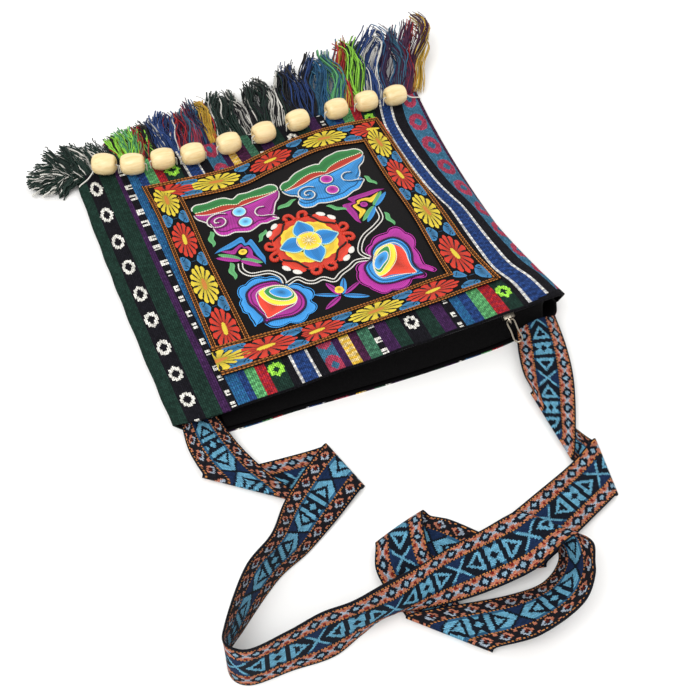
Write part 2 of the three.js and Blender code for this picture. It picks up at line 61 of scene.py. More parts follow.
# Points nearer to each other than this, in metres, are welded
WELD = 1e-6
# Radius along one long stitch, as shares of its greatest
SPINDLE = np.array((0.02, 0.72, 1.0, 0.72, 0.02))

# Front wall of the bag: three sections from the mouth to the far edge, as stations across the bag.
ACROSS = np.array((-1, -0.87, -0.45, -0.04, 0.36, 0.69, 0.9, 1))
# Columns x, y, z in millimetres
MOUTH_RIM = MM * np.array((
    (-144, -115, 4), (-126, -124, 14), (-58, -128, 22), (0, -130, 28),
    (58, -132, 33), (105, -133, 36), (143, -128, 29), (151.5, -116.5, 3.6),
))
BELLY = MM * np.array((
    (-148.5, 12, 3.6), (-130, 11, 9.5), (-58, 9, 15), (0, 8, 18),
    (57, 7, 19), (104, 8, 18), (135, 10, 11), (145.5, 12, 3.6),
))
FAR_EDGE = MM * np.array((
    (-149.5, 143, 3.6), (-131, 141, 5), (-58, 138, 6), (0, 137, 6),
    (58, 138, 6), (105, 139, 6), (141, 140, 5), (156, 141, 3.6),
))
# The back wall's mouth edge at the same stations, columns x, y in millimetres
BACK_RIM = MM * np.array((
    (-144, -113), (-126, -129), (-58, -133), (0, -136),
    (58, -137), (105, -135), (143, -126), (151.5, -114.5),
))
# Corners of the embroidered square on the front wall, columns across, along
SQUARE = {
    "far_left": (-0.72, 0.887), "far_right": (0.722, 0.885),
    "near_right": (0.74, 0.073), "near_left": (-0.757, 0.104),
}
HALF_SQUARE = 106.5

# Strap rungs from the left mouth corner to the right one, in millimetres.
# Columns x, y, z of edge a, then of edge b, then the cup of the middle, then the turn of a fold
STRAP_RUNGS = (
    (-138.5, -116.5, 2.6, -115, -119, 6.5, 0, 0),
    (-140, -135, 3, -109, -144, 5, -4, 0),
    (-138.5, -149, 4, -100, -168, 5, 0, 0),
    (-137, -158, 3, -84, -199, 3, 0, -1),
    (-99, -163, 1.2, -64, -202, 1.2, 0, 0),
    (-56, -166, 3, -45, -204.5, 3, 0, 1),
    (-94, -197, 12, -71, -220, 2, 0, 0),
    (-115, -227, 32, -94, -232, 1.2, 0, 0),
    (-134, -240, 34, -115, -240.5, 1.2, 0, 0),
    (-157, -270, 36.5, -146.5, -263, 1.2, 0, 0),
    (-160.5, -278, 38.5, -159, -273.5, 1.2, 0, 0),
    (-159, -282, 38.5, -161, -286.5, 1.2, 0, 0),
    (-151, -287.5, 38, -154.5, -293.5, 1.2, 0, 0),
    (-126.5, -286.5, 38, -127.5, -295.5, 1.2, 0, 0),
    (-105, -283, 36, -102.5, -297, 1.2, 0, 0),
    (-88, -284, 37, -84, -292, 2.5, 2, 0),
    (-64.3, -278, 28, -63.8, -287, 2, 8, 0),
    (-38, -271, 16, -43.5, -293, 5, 8, 0),
    (-15.7, -266.7, 14.5, -19.8, -297.7, 8.5, 5, 0),
    (9, -265, 17.5, -0.3, -300.6, 15.5, 2, 0),
    (22.6, -265, 24, 23.6, -301.3, 23.5, 0, 0),
    (29, -267, 30, 53.5, -294, 30, 0, 0),
    (42, -274, 16, 58, -303, 34, 0, 0),
    (48.5, -292, 5, 52, -314, 35.5, 0, 0),
    (43, -299, 4, 49, -320, 34, 0, 0),
    (29.5, -305, 3.6, 37.5, -330.5, 29.5, 0, 0),
    (7, -304.5, 5, 7, -336, 20, 0, 0),
    (-55, -292, 3.2, -17, -329.5, 3.2, 0, -1),
    (-59.5, -272, 2.5, -24, -292, 5, 0, 0),
    (-60, -258, 4, -26, -262, 9, 4, 0),
    (-55, -247, 6, -20.5, -240, 11, 2, 0),
    (-52.5, -243, 3.6, -16.2, -234.8, 5, 0, 0),
    (-49, -246.5, 1.2, -13, -238, 1.2, 0, 0),
    (-31.6, -270, 1.2, -2.7, -245.3, 1.2, 0, 0),
    (-27.7, -277, 3, 38, -295, 3, 0, 1),
    (46, -253.5, 4, 57, -288, 4, 0, 0),
    (90, -239.5, 4.6, 103, -271, 4.6, 0, 0),
    (112.5, -229, 3, 104, -270.5, 3, 0, -1),
    (92, -181.5, 5, 92.3, -237, 3, 0, 1),
    (93.3, -166.6, 7, 105.4, -217, 5.5, 0, 0),
    (98.9, -149.3, 6.5, 123.8, -182.8, 7, 0, 0),
    (103.7, -138.4, 6, 132.7, -157.3, 8, 3, 0),
    (106.7, -131.5, 5.8, 138.9, -131, 8.5, 5, 0),
)
STRAP_FOLD = 0.0011
STRAP_LOWEST = 0.0009
STRAP_WIDTH = 38.0
# Fine steps from one rung to the next
RUNG_STEPS = 40

# Camera at the photo's angle
CAMERA = {
    "azimuth": -25.4, "elevation": 53.55, "roll": -3.06, "distance": 0.6766,
    "target": (-0.0091, -0.0986, 0), "lens": 48.81, "sensor": 36,
}

# Stripes of the loom cloth, left to right, in millimetres from the left seam.
# Columns right edge at the mouth, right edge at the fringe, dye, figure
STRIPES = (
    (10.7, 8, "dark_green", None), (22.5, 19, "black", "ring"), (33, 30, "dark_green", None),
    (38, 32.5, "purple", None), (43, 37, "black", "check"), (50.5, 43, "blue", None),
    (55, 48.5, "navy", None), (61.5, 55, "light_green", None), (68, 60.5, "red", None),
    (79, 72.5, "dark_green", "lime"), (84.5, 75, "black", None), (86.4, 76.8, "white", None),
    (96.5, 85.5, "navy", None), (98.4, 87, "white", None), (105, 95, "black", None),
    (117, 108, "teal", "rose"), (122.5, 113.5, "purple", None), (130.5, 120.5, "gold", None),
    (137, 132, "plum", None), (146, 140, "mid_green", None), (150.5, 145.5, "black", "check"),
    (159.5, 156.5, "purple", None), (169, 168, "dark_green", None), (183, 182, "black", "ring"),
    (193, 194, "dark_green", None), (202, 203.5, "purple", None), (209.5, 211, "black", "check"),
    (216.5, 218.5, "blue", None), (224, 226.5, "navy", None), (233.5, 236.5, "light_green", None),
    (243, 244.5, "red", None), (254, 257, "dark_green", "lime"), (258, 262, "black", None),
    (260.2, 263.6, "white", None), (271, 270.5, "navy", None), (273.2, 272.2, "white", None),
    (281, 281, "black", None), (297, 297, "teal", "rose"), (301, 301, "plum", None),
)
CLOTH_WIDE = 300.0
CLOTH_LONG = 268.0
# Woven figures: half width, half height, inner share, raggedness, place in the repeat, dye
FIGURES = {
    "ring": (4.9, 7.4, 0.52, 0.07, 0.0, "white"),
    "lime": (5.2, 6.6, 0.4, 0.1, 0.0, "lime"),
    "rose": (6.8, 10.4, 0.38, 0.02, 0.45, "rose"),
}
# Rims of those figures: reach as a share, points round the rim, raggedness of the hole against the rim's
RING = Sizes(reach=0.98, points=8, hole_ragged=2.2)
# Where the repeats of the figures lie, in millimetres from the mouth
FIGURE_ROWS = (-5, 18.5, 41.2, 66.3, 94.3, 120.5, 150.4, 178.6, 212, 244.5, 279)
REPEAT_LONG = 28.0
# Small white blocks: half width, half height, places in the repeat, and the notch in one side
BLOCK = Sizes(
    half_wide=1.9, half_long=2.7, places=(0.34, 0.76),
    notch_at=-0.4, notch_half=0.8, notch_from=-0.2,
)
# Slanting ticks in some grounds: size in millimetres, share of the tick's dye, and that dye by ground
TICK = Sizes(
    wide=1.7, long=2.3, share=0.38,
    dye={
        "blue": "navy", "gold": "cream", "mid_green": "dark_green", "light_green": "dark_green",
        "navy": "black", "red": "plum", "plum": "black", "white": "navy",
    },
)
# Sideways wander of the right side's stripes: columns place from the mouth, shift
STRIPE_WANDER = (
    (0, 1.5), (23, 1), (41, -2.9), (62, -2.9), (82, -2.1), (111, -0.9), (124, -2.8), (144, -5.2), (185, -5.9),
    (227, -4.3), (247, -1.1), (268, 3.5),
)
# Share of that wander: columns place from the left seam, share
WANDER_SHARE = ((0, 0), (218, 0), (248, 1), (282, 0.9), (300, 0))
# Black hem at the mouth: columns place from the left seam, depth
HEM = ((0, 0.3), (45, 0.6), (80, 1.1), (200, 1.3), (255, 1.6), (280, 5), (300, 11))
# Share of the black kept in the hem, painted darker as shade along the mouth's rim, and range of random tones
# from cell to cell
HEM_PAINTED_SHADE = 0.6
CELL_SHADES = (0.8, 1.2)
# Soft waves of the walls' mouth rim and left seam: height, pitch and depth in millimetres,
# then how far and how slowly the pitch drifts
RUMPLE = {
    "rim": 0.9, "rim_pitch": 47, "rim_deep": 12, "rim_drift": 1.3, "rim_slow": 31,
    "seam": 0.25, "seam_pitch": 36, "seam_deep": 9, "seam_drift": 0.7, "seam_slow": 23,
}

# Ribbon frame on the square, in millimetres from its middle.
# Edges: columns place along the ribbon, outer edge, inner edge.
# Ends: where the ribbon starts at its outer and inner edges, then where it stops.
# Flowers: columns place, colour, where it is cut off at the left. Leaves: places
RIBBONS = {
    "ribbon_top": {
        "upright": False, "level": 1.0, "ends": ((-104, -104), (103.5, 103.5)),
        "edges": ((-104, 99.5, 72), (-80.5, 97.5, 70.5), (-55, 95.5, 68), (-33, 97, 68.5), (-14.5, 102, 74),
                  (7.5, 109, 80), (29.5, 113.5, 86), (49.5, 115.5, 88), (73.5, 114.5, 84),
                  (103.5, 111.5, 79.5)),
        "flowers": ((-91.5, "red", None), (-55.5, "yellow", None), (-4.5, "red", None), (48, "yellow", None),
                    (93, "red", None)),
        "leaves": (-76, -30, 22, 71),
    },
    "ribbon_left": {
        "upright": True, "level": 1.4, "ends": ((-84.5, -84.5), (101, 73)),
        "edges": ((-84.5, -101.5, -78.5), (-55, -101.5, -79.5), (0, -102, -81.5), (55, -102.5, -82),
                  (105, -105.5, -84)),
        "flowers": ((-70.5, "red", None), (-25, "yellow", None), (25.5, "red", None), (75, "yellow", None)),
        "leaves": (-48, 0.5, 51),
    },
    "ribbon_right": {
        "upright": True, "level": 1.4, "ends": ((-98.5, -82), (110, 85)),
        "edges": ((-99, 100.5, 66.5), (-66, 97.5, 68.5), (-14.5, 99.5, 73.5), (36.5, 100, 74.5),
                  (75, 102, 77), (112, 103, 80)),
        "flowers": ((-65, "red", None), (-15.5, "yellow", None), (32, "red", None), (77, "yellow", None)),
        "leaves": (-88, -40, 9, 54),
    },
    "ribbon_bottom": {
        "upright": False, "level": 1.8, "ends": ((-102.5, -102.5), (99, 68)),
        "edges": ((-102.5, -108.5, -83), (-73, -108.5, -84.5), (-36.5, -107, -86.5), (7.5, -104.5, -85.5),
                  (51.5, -102.5, -81.5), (75, -100.5, -80.5), (100.5, -99, -80.5)),
        "flowers": ((-101, "yellow", None), (-72, "red", None), (-37, "red", -45.5), (7.5, "yellow", None),
                    (51, "red", None)),
        "leaves": (-90, -53, -16, 30, 78),
    },
}
RIBBON_WIDE = 33.0
FLOWER = Sizes(
    half_long=19.0, half_wide=11.6, petals=14, rise=0.35, notch=0.26, stretch=0.1,
    heart_long=6.4, heart_wide=2.2, heart_slant=0.6,
)
# Dyes of a flower's petals and heart
FLOWER_DYES = {"red": ("ribbon_red", "ribbon_yellow"), "yellow": ("ribbon_yellow", "ribbon_orange")}
# One blue leaf patch at a ribbon's edge, about the middle of its foot
PATCH = (
    (-7.5, 0.5), (-8, -2.5), (-5.5, -5.5), (-2, -7.5), (0, -8.2), (2, -7.5), (5.5, -5.5), (8, -2.5),
    (7.5, 0.5),
)
# Where the patch's foot and middle lie across the ribbon, then the centre, radii and turn of its veins
VEINS = Sizes(
    foot=11.0, middle=8.0, centre=(6.6, 10.6), radii=(2.0, 4.2), turn=(0.1, 1.5), dash=2.6,
)

# Embroidery on the satin, in millimetres from the square's middle.
# Clouds: four lines from the left tip to the right one, a hook, two dots and the middle of a spiral
CLOUDS = (
    {
        "top": ((-80.5, 55), (-80, 58.5), (-77, 61), (-72, 60.5), (-68.5, 60.5), (-62, 61.5), (-55.5, 60.5),
                (-50, 56.5), (-44, 60), (-36.5, 59.5), (-30, 60.5), (-23.5, 61), (-16.5, 62), (-12, 59.5),
                (-11, 55), (-12.5, 52)),
        "band": ((-79.5, 51.5), (-73, 51), (-66, 51.5), (-58.5, 52), (-51, 49.5), (-48.5, 48.5), (-44, 51),
                 (-36.5, 52), (-27.5, 51.5), (-18, 51.5), (-12.5, 52.5)),
        "waist": ((-79.5, 49.5), (-73, 46.5), (-64, 45.5), (-55, 45.5), (-48.5, 45.5), (-40, 46.5), (-31, 48),
                  (-22, 49.5), (-13.5, 51.5)),
        "foot": ((-80.5, 50), (-79.5, 44.5), (-76, 39.5), (-73, 35.5), (-72, 30), (-71.5, 24.5), (-69.5, 20),
                 (-65, 18), (-59.5, 19), (-55, 17.5), (-48.5, 15.5), (-43, 17.5), (-37.5, 20), (-33, 19),
                 (-28.5, 20), (-22, 20.5), (-26.5, 24.5), (-23.5, 29), (-21, 34.5), (-18, 39.5), (-14.5, 43),
                 (-12, 48.5), (-11.5, 52)),
        "hook": ((-29, 37.5), (-34.5, 38), (-38, 34.5), (-37.5, 30), (-34, 27.5), (-29, 26.5), (-23.5, 24.5)),
        "dots": ((-49.5, 39.5), (-48.5, 26.5)),
        "spiral": (-67, 35),
        "dyes": ("magenta", "pale_blue"),
    },
    {
        "top": ((-9, 51), (-8.5, 55.5), (-4.5, 59.5), (0, 60.5), (4, 64), (9, 67.5), (14.5, 69.5), (22, 71.5),
                (28.5, 72), (31, 71), (33, 73), (38.5, 77), (46, 79.5), (52, 81), (60.5, 79.5), (67, 78.5),
                (70.5, 75), (71, 70.5), (68.5, 67.5)),
        "band": ((-7, 49.5), (0, 52), (7.5, 56.5), (14.5, 60), (22, 62), (29.5, 60.5), (32, 59), (36.5, 63),
                 (46, 67.5), (55, 69.5), (64, 70.5), (69.5, 71.5)),
        "waist": ((-6.5, 48.5), (2, 49.5), (11, 52), (18.5, 55), (25.5, 56.5), (32, 56.5), (40.5, 58.5),
                  (49.5, 61), (58.5, 64), (66, 66), (69.5, 67.5)),
        "foot": ((-9, 50), (-8, 46.5), (-4.5, 42), (0, 39.5), (1, 35.5), (-1.5, 32), (-1.5, 28.5),
                 (1, 24.5), (7.5, 23), (13, 25), (18.5, 23.5), (24, 23), (31, 23.5), (36.5, 24.5),
                 (44, 28.5), (49.5, 30), (55, 35.5), (58, 39), (53, 40), (56, 44), (58.5, 48.5), (60.5, 55),
                 (66, 59.5), (69.5, 65), (70.5, 67.5)),
        "hook": ((51.5, 51), (46, 52), (42, 48.5), (42, 44), (46, 41), (52, 40), (56.5, 39)),
        "dots": ((29.5, 50), (29, 36)),
        "spiral": (9, 38),
        "dyes": ("sky", "magenta"),
    },
)
# Hearts: outlines from the outside in, then the bands of the middle, and the dyes
HEARTS = (
    {
        "outer": ((-43, -46), (-45.5, -40.5), (-49.5, -36), (-55.5, -33.5), (-62, -33.5), (-67.5, -34.5),
                  (-71.5, -36.5), (-73.5, -41.5), (-75, -46), (-76, -51.5), (-75, -56), (-76, -61),
                  (-74, -66), (-72, -71.5), (-73, -76.5), (-68.5, -73.5), (-66, -70.5), (-66.5, -79),
                  (-62, -81), (-56.5, -82), (-51, -83), (-45.5, -83.5), (-40, -82.5), (-35.5, -80.5),
                  (-31, -77), (-29, -73.5), (-29.5, -69.5), (-27.5, -66), (-26.5, -61.5), (-27.5, -57),
                  (-30, -53), (-34.5, -50.5), (-39.5, -49)),
        "inner": ((-44.5, -47), (-47.5, -42), (-53, -40), (-60.5, -39.5), (-66, -41.5), (-69.5, -45),
                  (-70.5, -50), (-70.5, -55), (-68.5, -60.5), (-67, -66), (-65.5, -70.5), (-66.5, -75.5),
                  (-62, -75), (-55, -76), (-46.5, -77), (-40, -75), (-36, -71.5), (-34, -66),
                  (-34.5, -60.5), (-36.5, -56), (-40, -53)),
        "core": ((-44.5, -48.5), (-49.5, -46), (-55, -45), (-60.5, -45.5), (-64, -48.5), (-65, -53),
                 (-65, -60.5), (-64, -67), (-63.5, -72.5), (-56.5, -71), (-49.5, -69.5), (-43, -68),
                 (-39.5, -64), (-39.5, -58.5), (-41.5, -54)),
        "yellow": ((-62, -47.5), (-58.5, -46), (-51, -45.5), (-43.5, -49), (-39.5, -56), (-39, -63),
                   (-42, -66.5), (-49.5, -66), (-56.5, -62.5), (-61, -55)),
        "green": ((-58.5, -48.5), (-55, -46), (-47.5, -47), (-42, -51), (-39.5, -57.5), (-40.5, -61.5),
                  (-45.5, -63), (-52, -60.5), (-56.5, -56)),
        "blue": ((-55, -49.5), (-49.5, -48.5), (-43.5, -51.5), (-41, -56), (-41.5, -59.5), (-45.5, -60.5),
                 (-51, -57.5), (-54.5, -53)),
        "dyes": ("sky", "magenta"),
    },
    {
        "outer": ((25, -47.5), (25.5, -42), (26.5, -36.5), (30.5, -31), (36.5, -27.5), (44, -25),
                  (51.5, -22), (57, -23), (60.5, -27.5), (63, -32), (63, -38.5), (61.5, -46), (59.5, -53),
                  (58.5, -60.5), (62.5, -73.5), (57, -70.5), (54, -68), (53.5, -75.5), (46, -76), (42, -78),
                  (35, -80.5), (27.5, -81.5), (20, -80.5), (16.5, -77), (12, -73.5), (10, -68.5), (9, -64),
                  (9, -58.5), (10, -53), (14.5, -49.5), (20, -48)),
        "inner": ((26, -47), (28.5, -40.5), (34, -35), (42, -32), (49.5, -32), (54, -36.5), (56, -44),
                  (54.5, -53), (51.5, -60.5), (52, -68), (54, -73.5), (46, -73.5), (36.5, -74), (28.5, -74),
                  (21, -71.5), (17.5, -66), (16.5, -59.5), (17.5, -53), (22, -49)),
        "core": ((27, -47), (32, -40.5), (39.5, -37.5), (47.5, -37.5), (50.5, -42), (51, -49.5),
                 (49.5, -57), (48.5, -64), (49, -71), (40.5, -69.5), (31, -68.5), (25, -68), (22.5, -63),
                 (23, -56), (25, -50.5)),
        "yellow": ((25, -51.5), (31, -42), (38.5, -38), (45.5, -38.5), (45, -46), (41.5, -54), (35, -60.5),
                   (27.5, -65), (23.5, -65), (23, -59.5)),
        "green": ((25, -53), (29.5, -46), (36.5, -40.5), (41.5, -39.5), (40.5, -46), (36.5, -53),
                  (30.5, -58.5), (25, -62.5), (23, -59.5)),
        "blue": ((25.5, -51.5), (31, -46), (37.5, -44), (38.5, -46), (36, -51.5), (30.5, -56), (25.5, -59.5),
                 (24, -57)),
        "dyes": ("magenta", "sky"),
    },
)
# Bands inside a heart: columns outline, dye
HEART_BANDS = (("core", "stitch_red"), ("yellow", "stitch_yellow"), ("green", "leaf_green"), ("blue", "sky"))
# One blossom about the joint of its sepals.
# Crown and band: outer line, then inner line, from wing tip to wing tip
BLOSSOM = {
    "crown": (
        ((-23, 4.5), (-21.5, 8.8), (-18, 12.8), (-12.5, 18.6), (-6.9, 24), (-3, 20.4), (-1, 17.4),
         (0.2, 19.4), (2, 22.5), (8.5, 17), (15.8, 9.4), (20, 5), (22.5, -2.5)),
        ((-23, 4.5), (-17.5, 7.9), (-12.6, 10.4), (-9, 13.8), (-5.3, 17.4), (-1, 14.6), (2, 16), (5, 13.6),
         (8.8, 9.4), (12.4, 5.8), (18.4, 1.2), (22.5, -2.5)),
    ),
    "band": (
        ((-19, 7), (-15, 8.4), (-10.4, 9.2), (-8.2, 12.6), (-4.9, 16.2), (-1, 13.6), (1.5, 14.8), (4.5, 13),
         (7.6, 9.4), (9, 6), (13.5, 3.6), (17.5, 1.2)),
        ((-19, 7), (-14, 5.6), (-6.8, 5.2), (-5.6, 9.6), (-3.2, 13.4), (-1, 11.6), (1.5, 12), (4.2, 8),
         (3.2, 3.4), (10, 1.6), (17.5, 1.2)),
    ),
    "dot": (-0.8, 8.2), "dot_radius": 3.0, "sepals": ((-20.5, 2), (19.5, -2.6)),
    "sepal_half": 2.1, "sepal_apart": 1.9, "sepal_foot": 0.4,
}
# Where the blossoms lie: columns joint, turn in degrees, share of the width, dyes of crown, band, dot, sepal
BLOSSOMS = (
    ((-63.7, -11), -31, 0.84, "sky", "magenta", "stitch_yellow", "magenta"),
    ((52, 6.3), 51, 0.98, "magenta", "stitch_yellow", "magenta", "sky"),
)
# Petals and leaves: columns dye, base, tip, half width, wave of the edge
LEAVES = (
    ("magenta", (-8.5, -71.5), (-14.5, -57), 2.4, 0), ("sky", (-7, -71.5), (-0.5, -57), 2.4, 0),
    ("sky", (-10, -71.5), (-27, -64), 1.6, 0), ("magenta", (-5.5, -71.5), (9.5, -64), 1.6, 0),
    ("magenta", (-9, -72.5), (-24, -80), 2.0, 0), ("sky", (-7, -72.5), (9.5, -80), 2.0, 0),
    ("light_green", (-74.5, 27.5), (-77, 10), 1.9, 0.8),
    ("light_green", (-71, -10.5), (-72.5, -28.5), 2.0, 0.8),
    ("light_green", (-36.5, 12.5), (-46.5, 1.5), 1.9, 0.8),
    ("light_green", (-20, 30.5), (-1.5, 36.5), 2.2, 0.8),
    ("light_green", (59.5, 43), (65, 29), 2.0, 0.8), ("light_green", (56, -3), (57, -19.5), 2.0, 0.8),
    ("light_green", (17, 20), (31, 9.5), 2.0, 0.8),
)
# Round dots: columns x, y, radius, dye
DOTS = ((-8, -67, 3.4, "stitch_yellow"),)
STEMS = (
    ((-65, -14), (-66, -21), (-62, -28), (-48.5, -31.5), (-42.5, -39), (-42, -46)),
    ((-41.5, -47.5), (-32, -45), (-26.5, -51), (-21.5, -53), (-14.5, -52), (-7.5, -57), (-0.5, -52.5),
     (7.5, -49), (14.5, -45), (25.5, -47)),
    ((25.5, -46), (21, -38), (23.5, -31), (30.5, -22.5), (43, -15), (51, -8), (53, 4.5)),
)
STEM_HALF_GAP = 1.4
# Rosette in the middle: its place, radii and waves in millimetres, and turns in radians
ROSETTE = Sizes(
    x=-10, y=-13, inside=12.0, red=29.5, red_square=1.6, red_flame=1.5, red_tooth=0.8,
    gold=21.5, gold_square=1.2, gold_lobe=1.6, star_from=2.0, star=24.0, star_half=8.2,
    disc=9.6, rays=5, ray_turn=0.2, ray_share=0.6, curl=(26.0, 1.8),
    swirl=25.6, swirl_dent=2.2, swirl_turn=0.42, swirl_waves=7,
    pearls=32.5, pearl_turn=0.14, pearl_half_long=3.9, pearl_half_wide=2.2,
)
# One red curl of the rosette and the dark gap beside it: columns outwards, sideways
CURL = np.array(((0, 0), (4, 0.6), (6.8, 2.6), (6.6, 6.2), (3.6, 7.4), (2, 5)))
CURL_GAP = np.array(((1, 3.4), (3.6, 4.2), (2, 9), (0, 11)))
STAR_TINT = (0.62, 0.85, 0.95)
STAR_RIM_TINT = (0.55, 0.95, 1.1)

# Fringe locks: columns x of the root, the tip's way in x and in y, height of the tip, in millimetres
LOCK_FALL = MM * np.array((
    (-151, -35, -6, 3), (-142, -27, 11, 6), (-136, -20, 17, 8),
    (-128, -14, 23, 8), (-110, -2, 32, 6), (-92, 1, 39, 6),
    (-50, 2, 52, 5), (0, 4, 60, 6), (50, 12, 68, 10),
    (100, 22, 78, 16), (130, 30, 76, 22), (153, 36, 72, 26),
))
# The tuft that flops over the left corner, in the same columns
LEFT_TUFT = MM * np.array((
    (-150, -36, 2, 8), (-149, -33, -15, 3), (-148, -24, -21, 3),
    (-144, -31, 8, 10), (-147, -24, 13, 17), (-141, -17, 19, 15),
    (-136, -12, 23, 12),
))
LOCKS = 38
LOCK_CROWDING = 1.15
LOCK_WANDER = Sizes(sway=0.003, sway_turn=2.4, ragged=0.06, ragged_turn=1.7)

# The back wall's thickness in metres, and how much coarser its cells are than the front wall's
BACK_CLOTH = 0.0014
BACK_COARSER = 2.2

# Zip in the mouth, in metres and in shares of the way from the front rim to the back one
ZIP_FROM = -0.112
ZIP_TO = 0.133
ZIP_BANDS = {"zip_tape_front": (0, 0.12), "zip_tape_back": (0.27, 1)}
ZIP_COIL = (0.16, 0.23)
TAPE_INSET = 0.003
TAPE_DROP = 0.004
TAPE_TUCK = 0.012
TAPE = 0.0009
# Grid of a tape, then the coil's teeth: how far they reach over the tapes, and their sizes in metres
ZIP = Sizes(
    columns=100, rows=14, flat_wide=40, step=0.005, teeth=150, over=0.02, rise=0.0011,
    low=0.0002, radius=0.0006, sides=6,
)
TOOTH = np.array((0.1, 0.9, 1, 1, 1, 0.9, 0.1))
BEADS = 10
# A bead's rings and steps round, then shares: the bore's ends, the barrel's bulge, and the rounded shoulders
BEAD = Sizes(
    rings=25, steps=36, bore_end=0.97, barrel=0.72, shoulder=0.8, round=0.3, bluntness=2.2,
)
# Where the bead thread is sewn to the side seams
THREAD_ENDS = ((-0.1485, 0.128, 0.004), (0.155, 0.131, 0.004))
# The thread in metres, with its thin tips and the place where it turns in a bead as shares
THREAD = Sizes(
    radius=0.00055, stations=17, sides=6, tip=0.05, turn=0.8, past_bead=0.001,
    droop=0.0012, foot=0.0005, sag=0.002, sewn=0.003,
)

# Stage: half the floor's width in metres, strength of the sky, and nearest distance that the camera sees
FLOOR_HALF = 4
SKY_STRENGTH = 0.9
NEAREST = 0.01
# Soft lights: columns name, place, size, power
SOFTBOXES = (("key_softbox", (-0.7, -0.5, 1.3), 0.9, 13), ("fill_softbox", (0.9, 0.5, 1.2), 1.2, 4))


def linear(colour):
    """Turns an sRGB hex colour to linear red, green and blue."""
    shares = [int(colour[i:i + 2], 16) / 255 for i in (1, 3, 5)]
    return tuple(c / 12.92 if c <= 0.04045 else ((c + 0.055) / 1.055) ** 2.4 for c in shares)


def dye(name, description, colour):
    """A colour property with its default as sRGB hex."""
    return bpy.props.FloatVectorProperty(
        name=name, description=description, subtype="COLOR", size=3, min=0, max=1, default=linear(colour)
    )


class BagDyes(bpy.types.PropertyGroup):
    """Dyes of the bag's yarns and threads."""

    dark_green: dye("Dark green", "Cotton of the side stripes", "#1b322a")
    mid_green: dye("Mid green", "Ticked cotton stripe in the middle", "#43735a")
    purple: dye("Purple", "Cotton of the narrow stripes", "#3d2148")
    plum: dye("Plum", "Cotton at the right seam", "#4a2140")
    black: dye("Black", "Cotton under the woven figures", "#15141a")
    blue: dye("Blue", "Ticked cotton stripe", "#29618b")
    navy: dye("Navy", "Cotton between the white lines", "#27437c")
    light_green: dye("Light green", "Cotton beside the red stripe", "#5fa86a")
    red: dye("Red", "Cotton beside the light green stripe", "#b3282d")
    lime: dye("Lime", "Cotton of the small ring flowers", "#9ce04a")
    gold: dye("Gold", "Ticked cotton stripe", "#d8ad3c")
    teal: dye("Teal", "Cotton under the rose rings", "#3a6a86")
    rose: dye("Rose", "Cotton of the rose rings", "#a33a52")
    white: dye("White", "Undyed cotton", "#e4e1d8")
    ribbon_red: dye("Ribbon red", "Weft of the red ribbon flowers", "#cd3520")
    ribbon_yellow: dye("Ribbon yellow", "Weft of the yellow ribbon flowers", "#dec638")
    ribbon_blue: dye("Ribbon blue", "Weft of the ribbon's leaves", "#3679a8")
    ribbon_orange: dye("Ribbon orange", "Chain lines along the ribbon", "#c97c33")
    magenta: dye("Magenta", "Rayon embroidery thread", "#a32b8d")
    sky: dye("Sky blue", "Rayon embroidery thread", "#368acb")
    leaf_green: dye("Leaf green", "Rayon embroidery thread", "#2a7a3c")
    stitch_red: dye("Stitch red", "Rayon embroidery thread", "#cb3a27")
    stitch_yellow: dye("Stitch yellow", "Rayon embroidery thread", "#f0c93c")
    cream: dye("Cream", "Rayon embroidery thread", "#f2e6c0")
    pale_blue: dye("Pale blue", "Rayon embroidery thread", "#6cb6e4")
    violet: dye("Violet", "Rayon embroidery thread", "#5b2a6e")
    strap_orange: dye("Strap orange", "Border ground of the strap's orange face", "#b8735a")
    strap_grey: dye("Strap grey", "Patches between the strap's diamonds", "#9aa6b4")
    strap_blue: dye("Strap blue", "Figures in the strap's middle", "#64a0bc")
    strap_deep: dye("Strap deep blue", "Ends of the strap's figures", "#2b5878")
    strap_navy: dye("Strap navy", "Triangles beside the strap's crosses", "#16294a")
    strap_dark: dye("Strap dark", "Ground of the strap's middle", "#0d1420")
    strap_maroon: dye("Strap maroon", "Spots beside the strap's diamonds", "#7a241c")
    strap_gold: dye("Strap gold", "Dotted lines along the strap", "#b5763f")


def measure(name, description, default, least):
    """A length property in metres."""
    return bpy.props.FloatProperty(
        name=name, description=description, default=default, min=least, subtype="DISTANCE", unit="LENGTH"
    )


class BagSizes(bpy.types.PropertyGroup):
    """Fineness of the bag's cloth, yarns and threads."""

    cloth_cell: measure("Cloth cell", "Side of one woven cell of the loom cloth", 0.0011, 0.0008)
    strap_cell: measure("Strap cell", "Side of one woven cell of the strap", 0.00095, 0.0006)
    cloth_thick: measure("Cloth thickness", "Thickness of the loom cloth", 0.0015, 0.0005)
    strap_thick: measure("Strap thickness", "Thickness of the strap", 0.0012, 0.0005)
    yarns: bpy.props.IntProperty(
        name="Yarns in a lock", description="Yarns in each lock of the fringe", default=34, min=1
    )
    yarn: measure("Yarn", "Diameter of one fringe yarn", 0.00125, 0.0004)
    bead_long: measure("Bead length", "Length of a wooden bead", 0.019, 0.005)
    bead_wide: measure("Bead diameter", "Diameter of a wooden bead at its middle", 0.0176, 0.005)
    bead_bore: measure("Bead bore", "Diameter of the hole through a bead", 0.005, 0.001)


def dyes():
    """The scene's dyes by name, as rows of red, green and blue."""
    group = bpy.context.scene.bag_dyes
    return {name: np.array(getattr(group, name)) for name in BagDyes.__annotations__}


# Curves and surfaces


